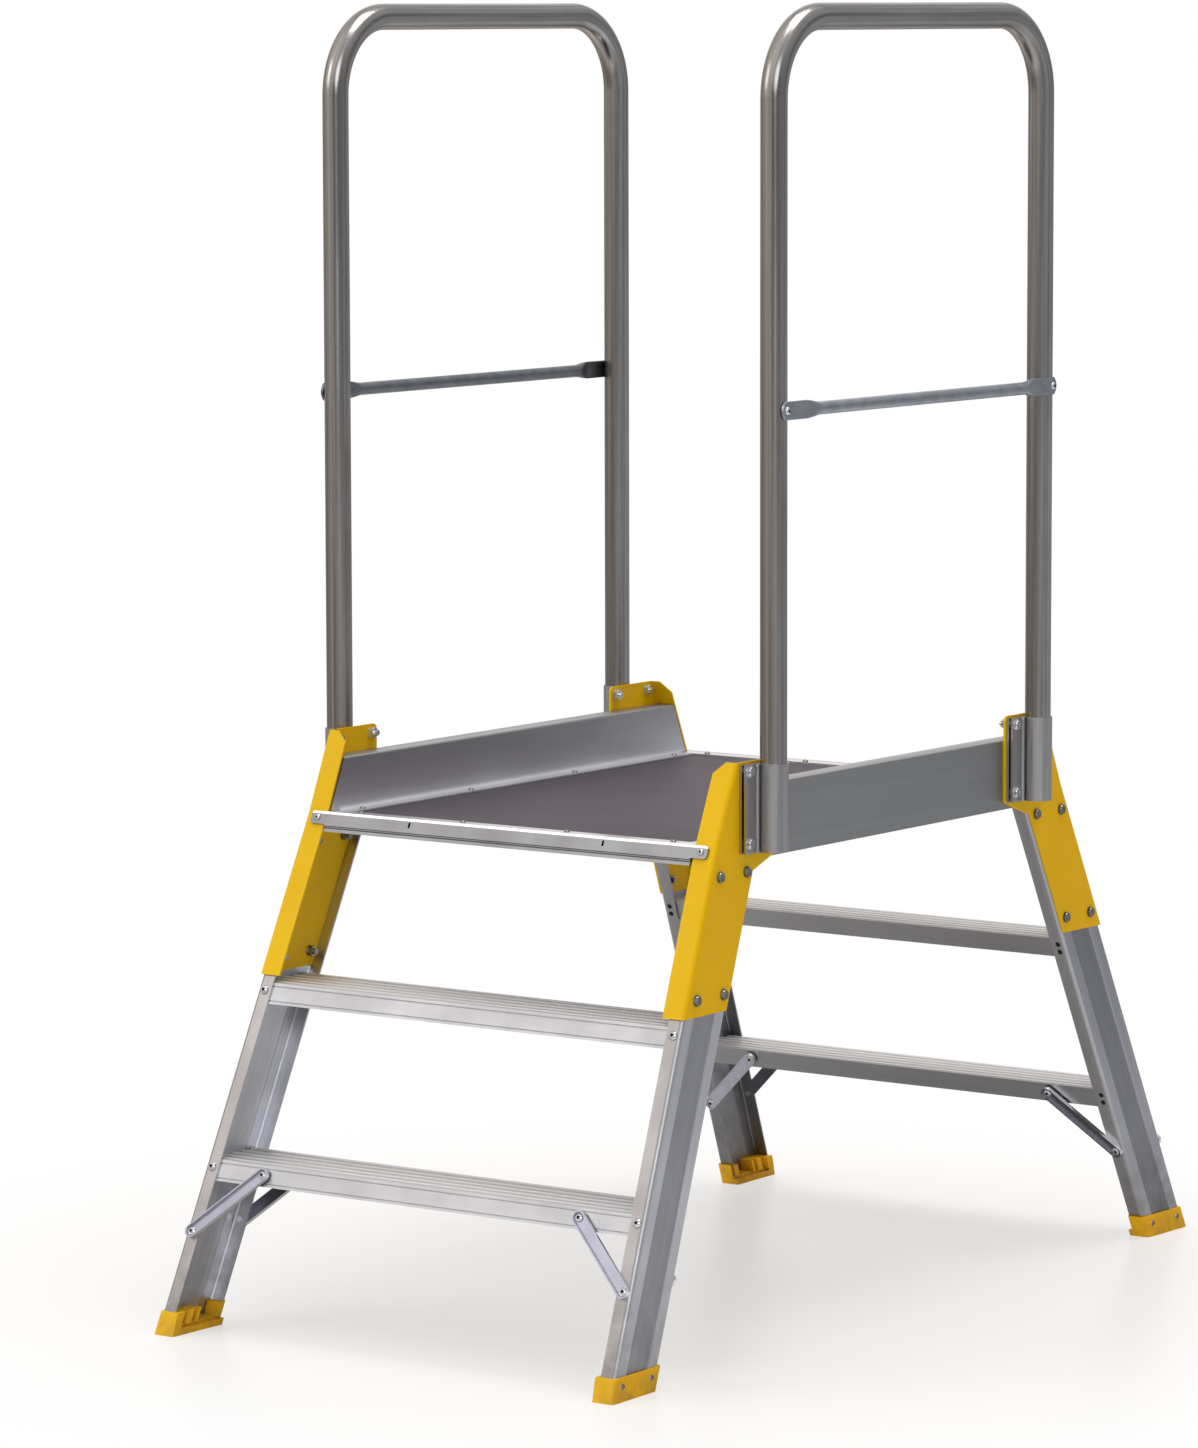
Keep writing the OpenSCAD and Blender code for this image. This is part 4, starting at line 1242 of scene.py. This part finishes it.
def seat_of(corners: np.ndarray, middles: np.ndarray) -> Seat:
    """Find the head of one rivet, bolt or screw.

    Args:
        corners: Corners of the solid.
        middles: Middles of its faces with their areas.

    Returns:
        The seat of its widest end.
    """
    share = middles[:, 3] / middles[:, 3].sum()
    centre = (middles[:, :3] * share[:, None]).sum(0)
    offset = middles[:, :3] - centre
    values, axes = np.linalg.eigh((offset * share[:, None]).T @ offset)
    axis = axes[:, 0] if values[1] - values[0] > values[2] - values[1] else axes[:, 2]
    along = (corners - centre) @ axis
    away = np.linalg.norm(corners - centre - along[:, None] * axis, axis=1)
    radius = away.max()
    foot = along[away > HEAD_RIM * radius]
    if along.max() - foot.max() > foot.min() - along.min():
        axis, along, foot = -axis, -along, -foot
    base = foot.min()
    return Seat(Vector(centre + base * axis), Vector(axis), radius, along.max() - base)


@dataclass
class Fasteners:
    """Bolts, nuts, rivets and screws.

    Attributes:
        around: Points round a rivet head.
        skin: How far a rivet head stands over the solid below it at the side.
        crown: How much further it stands over it on top, as a factor.
        pull: Share of the head's radius that is the pulled hole in its middle.
        lip: Width of the flat round that hole.
        edge: Height of the hole's upper edge.
        taper: Share of the hole's radius that is left at its bottom.
        bottom: Height of the hole's bottom, above the solid below it.
        dome: Radius and height of the rings from the foot of a unit head to its shoulder.
    """

    around: int = 20
    skin: float = 0.0004
    crown: float = 1.6
    pull: float = 0.42
    lip: float = 0.08
    edge: float = 0.985
    taper: float = 0.9
    bottom: float = 0.93
    dome: tuple[tuple[float, float], ...] = (
        (1.0, 0.0), (0.985, 0.24), (0.92, 0.50), (0.78, 0.76), (0.58, 0.93)
    )

    @staticmethod
    @cache
    def head_tree() -> bpy.types.NodeTree:
        """Return the tree that sets one head on every seat, each turned a little differently."""
        graph, source, sink = open_group(
            "heads_on_seats",
            "GeometryNodeTree",
            {
                "Seats": Kind.SHAPE,
                "Head": Kind.PIECE,
                "Seed": Kind.COUNT,
                "Plate": Kind.FINISH,
                "Hole": Kind.FINISH,
            },
            {"Heads": Kind.SHAPE},
        )
        given = source.outputs
        head = graph.add("GeometryNodeObjectInfo", {"Object": given["Head"]}).outputs["Geometry"]
        facing = {"Vector": graph.named("facing", "FLOAT_VECTOR")}
        aligned = graph.first("FunctionNodeAlignRotationToVector", facing, axis="Z")
        chance = graph.add("FunctionNodeRandomValue", {"Seed": given["Seed"]}, data_type="FLOAT").outputs[1]
        spin = {"Axis": (0.0, 0.0, 1.0), "Angle": graph.times(chance, 2 * math.pi)}
        turns = {0: aligned, 1: graph.first("FunctionNodeAxisAngleToRotation", spin)}
        turned = graph.first("FunctionNodeRotateRotation", turns, rotation_space="LOCAL")
        size = graph.named("size", "FLOAT_VECTOR")
        seats = {"Points": given["Seats"], "Instance": head, "Rotation": turned, "Scale": size}
        placed = graph.first("GeometryNodeInstanceOnPoints", seats)
        whole = graph.first("GeometryNodeRealizeInstances", {0: placed})
        plated = graph.first("GeometryNodeSetMaterial", {"Geometry": whole, "Material": given["Plate"]})
        pulled = graph.named("hole", "BOOLEAN")
        holed = {"Geometry": plated, "Selection": pulled, "Material": given["Hole"]}
        graph.plug(sink.inputs["Heads"], graph.first("GeometryNodeSetMaterial", holed))
        return graph.tree

    def rivet_head(self) -> bpy.types.Object:
        """Make one rivet head of unit radius and unit height with a pulled hole.

        Returns:
            The head, to be copied to the seats.
        """
        rim = [(self.pull + self.lip, 1.0), (self.pull, self.edge)]
        ring = [*self.dome, *rim, (self.taper * self.pull, self.bottom)]
        points = [
            (r * math.cos(turn), r * math.sin(turn), z)
            for r, z in ring
            for turn in (2 * math.pi * step / self.around for step in range(self.around))
        ]
        faces = ring_faces(len(ring), self.around)
        faces.append(tuple(range(len(points) - self.around, len(points))))
        mesh = bpy.data.meshes.new("rivet_head")
        mesh.from_pydata(points, [], faces)
        mesh.shade_smooth()
        inner = mesh.attributes.new("hole", "BOOLEAN", "FACE")
        first = (len(ring) - 2) * self.around
        inner.data.foreach_set("value", [number >= first for number in range(len(faces))])
        head = bpy.data.objects.new("rivet_head", mesh)
        bpy.context.scene.collection.objects.link(head)
        return head

    def cap(
        self, name: str, seats: Sequence[Seat], body: str, head: bpy.types.Object, plate: Metal, seed: int
    ) -> bpy.types.Object:
        """Set rivet heads over the plain ones of a group.

        Args:
            name: Name of the new piece.
            seats: Where the heads go.
            body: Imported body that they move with.
            head: The head to copy.
            plate: Finish of the heads.
            seed: Seed of their turns.

        Returns:
            The piece with all the heads.
        """
        points = bpy.data.meshes.new(f"{name}_seats")
        points.from_pydata([seat.place for seat in seats], [], [])
        facing = points.attributes.new("facing", "FLOAT_VECTOR", "POINT")
        facing.data.foreach_set("vector", [part for seat in seats for part in seat.facing])
        size = points.attributes.new("size", "FLOAT_VECTOR", "POINT")
        wide = [seat.radius + self.skin for seat in seats]
        tall = [seat.height + self.crown * self.skin for seat in seats]
        size.data.foreach_set("vector", [part for w, t in zip(wide, tall) for part in (w, w, t)])
        values = {
            "Head": head,
            "Seed": seed,
            "Plate": plate.material(Run.UPRIGHT),
            # The pulled holes get the near-black finish: painted shade in the holes.
            "Hole": DARK_STEEL_AND_HOLE_SHADE.material(Run.UPRIGHT),
        }
        mesh = grow(name, points, self.head_tree(), values)
        return add_mesh(name, mesh, body)

    def build(self) -> None:
        """Give the small steel its plating and every rivet its pulled head."""
        shiny = ["tread_rivets", "brace_rivets", "edge_screws"]
        dull = ["edge_rivets", "toe_rivets"]
        sides = [f"{side}_rail_rivets" for side in SIDES]
        dress(["clamp_bolts", "clamp_nuts", *shiny, *sides], BRIGHT.material(Run.UPRIGHT))
        dress(["bracket_bolts", "bracket_nuts", "foot_screws", *dull], BOLT.material(Run.UPRIGHT))
        dress(["tread_pins"], DARK_STEEL_AND_HOLE_SHADE.material(Run.UPRIGHT))
        head = self.rivet_head()
        groups = {
            "frame_rivet_heads": (shiny, "podium", BRIGHT),
            "deck_rivet_heads": (dull, "podium", BOLT),
            "left_rail_rivet_heads": (sides[:1], "left_rail", BRIGHT),
            "right_rail_rivet_heads": (sides[1:], "right_rail", BRIGHT),
        }
        for seed, (name, (nodes, body, plate)) in enumerate(groups.items()):
            seats = [seat_of(*part) for node in nodes for part in loose_pieces(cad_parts[node].data)]
            self.cap(name, seats, body, head, plate, seed)
        bpy.data.objects.remove(head)


@dataclass(frozen=True)
class Lamp:
    """A square soft lamp that points at the deck.

    Attributes:
        name: Name of the lamp.
        place: Where it hangs.
        power: Power in watts.
        size: Length of its side.
    """

    name: str
    place: tuple[float, float, float]
    power: float
    size: float

    def hang(self) -> None:
        """Put the lamp into the scene."""
        data = bpy.data.lights.new(self.name, "AREA")
        data.energy, data.size = self.power, self.size
        lamp = bpy.data.objects.new(self.name, data)
        lamp.location = self.place
        aim = Vector((0.0, 0.0, DECK_TOP)) - Vector(self.place)
        lamp.rotation_euler = aim.to_track_quat("-Z", "Y").to_euler()
        bpy.context.scene.collection.objects.link(lamp)


LAMPS = (Lamp("key", (-3.6, -4.4, 3.9), 30.0, 2.4), Lamp("top", (0.6, 0.4, 5.2), 80.0, 2.2))
SKY = (
    Glow((0.0, 0.0, 1.0), 0.0, 0.9, 0.0, 0.35),
    Glow((-0.60, -0.66, 0.46), 0.3, 0.98, 0.0, 0.42),
    Glow((0.75, 0.65, 0.10), 0.2, 0.95, 0.26, 0.36),
)
BACK_GLINT = Glow((-0.58, 0.80, 0.15), 0.82, 0.97, 0.0, 0.60)
FRONT_GLINT = Glow((0.63, -0.67, 0.39), 0.93, 0.995, 0.0, 2.2)
WARM_SIDE = Glow((0.82, 0.55, 0.10), -0.3, 0.8)
FRONT_FILL = Glow((-0.30, -0.90, 0.30), 0.0, 0.9, 0.10, 0.26)
FLOOR_SHADE = Glow((-0.83, -0.55, 0.0), 0.3, 0.9, 1.0, 0.66)
WARM_LIGHT = (1.0, 0.82, 0.62)
WARM_LOSS = 0.10
ROOM_BANDS = {"Bands": 2.2, "Depth": 0.16}
# Painted shadow under the deck, seen in reflections of the floor.
UNDER_DECK = (-0.15, 0.20, 0.0)
UNDER_DECK_SHAPE = (1.0, 0.65, 1.0)
UNDER_DECK_SPAN = (0.5, 1.0)
UNDER_DECK_LEVEL = 0.20
FAR_FLOOR_SPAN = (1.4, 3.2)
NEAR_FLOOR_LEVEL = 0.95
FADE_SPAN = (0.5, 1.45)


def ray_kinds(graph: Graph) -> tuple[Socket, Socket]:
    """Tell the rays from the camera and the mirrored ones from the rest.

    Args:
        graph: Graph of the material or the world.

    Returns:
        One for rays straight from the camera, and one for rays that a surface has mirrored.
    """
    path = graph.add("ShaderNodeLightPath").outputs
    return path["Is Camera Ray"], graph.math("MAXIMUM", path["Is Glossy Ray"], path["Is Transmission Ray"])


@dataclass
class Studio:
    """Floor, light and camera.

    Attributes:
        floor_size: Half the side of the floor.
        floor_tone: Colour of the floor.
        floor_rough: Roughness of the floor.
        floor_lift: Share of plain white in the floor next to the part.
        mirror_level: Level of the far floor in reflections.
        camera_place: Place of the camera.
        camera_turn: Pan, tilt below the horizon and roll of the camera, in degrees.
        lens: Focal length in millimetres.
        sensor: Width of the sensor in millimetres.
    """

    floor_size: float = 40.0
    floor_tone: Colour = (0.95, 0.95, 0.95)
    floor_rough: float = 0.30
    floor_lift: float = 0.44
    mirror_level: float = 0.47
    camera_place: tuple[float, float, float] = (5.0904, -7.3487, 1.8229)
    camera_turn: tuple[float, float, float] = (35.554, 6.496, -0.136)
    lens: float = 156.6
    sensor: float = 36.0

    def floor_material(self) -> bpy.types.Material:
        """Make the floor's finish: it fades to white for the camera and to a dim room in reflections, with a
        painted shadow under the deck.

        Returns:
            The material.
        """
        material, graph, shader = new_material("pale_floor")
        graph.plug(shader.inputs["Base Color"], self.floor_tone)
        graph.plug(shader.inputs["Roughness"], self.floor_rough)
        place = graph.place()
        away = graph.length(place)
        direct, mirrored = ray_kinds(graph)
        room = graph.effect(room_tone(), {"Direction": place, **ROOM_BANDS}).outputs
        # Painted shadow: in reflections the floor under the deck is dimmed.
        offset = graph.vector("MULTIPLY", graph.vector("SUBTRACT", place, UNDER_DECK), UNDER_DECK_SHAPE)
        covered = graph.span(graph.length(offset), *UNDER_DECK_SPAN, UNDER_DECK_LEVEL, 1.0)
        distant = graph.span(away, *FAR_FLOOR_SPAN, NEAR_FLOOR_LEVEL, self.mirror_level)
        shown = graph.times(covered, distant)
        # Painted shade: in reflections the floor towards the front left is dimmed.
        dim = FLOOR_SHADE.level(graph, graph.vector("NORMALIZE", place))
        shown = graph.times(graph.times(room["Level"], dim), shown)
        level = graph.math("MAXIMUM", direct, graph.times(shown, mirrored))
        tint = graph.mix(direct, room["Tint"], WHITE)
        white = graph.add("ShaderNodeEmission", {"Color": tint, "Strength": level})
        fade = graph.span(away, *FADE_SPAN, self.floor_lift, 1.0)
        fade = graph.times(fade, graph.math("MAXIMUM", direct, mirrored))
        blend = graph.add("ShaderNodeMixShader", {0: fade, 1: shader.outputs[0], 2: white.outputs[0]})
        graph.plug(graph.tree.nodes["Material Output"].inputs["Surface"], blend.outputs[0])
        return material

    def build_floor(self) -> bpy.types.Object:
        """Make the pale floor.

        Returns:
            The floor.
        """
        mesh = bpy.data.meshes.new("floor")
        half = self.floor_size
        corners = [(-half, -half, 0), (half, -half, 0), (half, half, 0), (-half, half, 0)]
        mesh.from_pydata(corners, [], [(0, 1, 2, 3)])
        mesh.materials.append(self.floor_material())
        floor = bpy.data.objects.new("floor", mesh)
        bpy.context.scene.collection.objects.link(floor)
        return floor

    def build_world(self) -> None:
        """Make the soft surrounding light: white to the camera, brighter above and in front."""
        world = bpy.data.worlds.new("studio")
        world.use_nodes = True
        bpy.context.scene.world = world
        graph = Graph(world.node_tree)
        sky = world.node_tree.nodes["Background"]
        direct, mirrored = ray_kinds(graph)
        way = graph.add("ShaderNodeTexCoord").outputs["Generated"]
        room = graph.effect(room_tone(), {"Direction": way, **ROOM_BANDS}).outputs
        above, front, right = (glow.level(graph, way) for glow in SKY)
        soft = graph.math("ADD", graph.math("ADD", above, front), right)
        soft = graph.times(soft, room["Level"])
        glints = graph.math("ADD", BACK_GLINT.level(graph, way), FRONT_GLINT.level(graph, way))
        soft = graph.math("ADD", soft, graph.times(glints, mirrored))
        warm = WARM_SIDE.level(graph, way)
        plain = graph.mix(warm, WHITE, WARM_LIGHT)
        fill = graph.math("SUBTRACT", FRONT_FILL.level(graph, way), graph.times(warm, WARM_LOSS))
        level = graph.math("ADD", soft, graph.times(graph.math("SUBTRACT", 1.0, mirrored), fill))
        tint = graph.mix(mirrored, plain, room["Tint"])
        graph.plug(sky.inputs["Color"], graph.mix(direct, tint, WHITE))
        graph.plug(sky.inputs["Strength"], graph.math("MAXIMUM", direct, level))

    def build_camera(self) -> None:
        """Place the camera at the viewing angle of the photograph."""
        data = bpy.data.cameras.new("camera")
        data.lens, data.sensor_width = self.lens, self.sensor
        data.clip_end = 200.0
        camera = bpy.data.objects.new("camera", data)
        pan, tilt, roll = (math.radians(part) for part in self.camera_turn)
        turn = Matrix.Rotation(pan, 4, "Z") @ Matrix.Rotation(math.pi / 2 - tilt, 4, "X")
        turn = turn @ Matrix.Rotation(roll, 4, "Z")
        camera.matrix_world = Matrix.Translation(self.camera_place) @ turn
        bpy.context.scene.collection.objects.link(camera)
        bpy.context.scene.camera = camera

    def build(self) -> None:
        """Set up the whole studio."""
        bpy.context.scene.view_settings.view_transform = "Standard"
        self.build_floor()
        self.build_world()
        for lamp in LAMPS:
            lamp.hang()
        self.build_camera()
        log.info("studio ready")


def main() -> None:
    """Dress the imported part, add what the solids leave out, and set up the studio."""
    logging.basicConfig(level=logging.INFO, format="%(name)s: %(message)s")
    LadderFrames().dress()
    Brackets().dress()
    Deck().dress()
    Handrails().build()
    Fasteners().build()
    Studio().build()


if __name__ == "__main__":
    main()
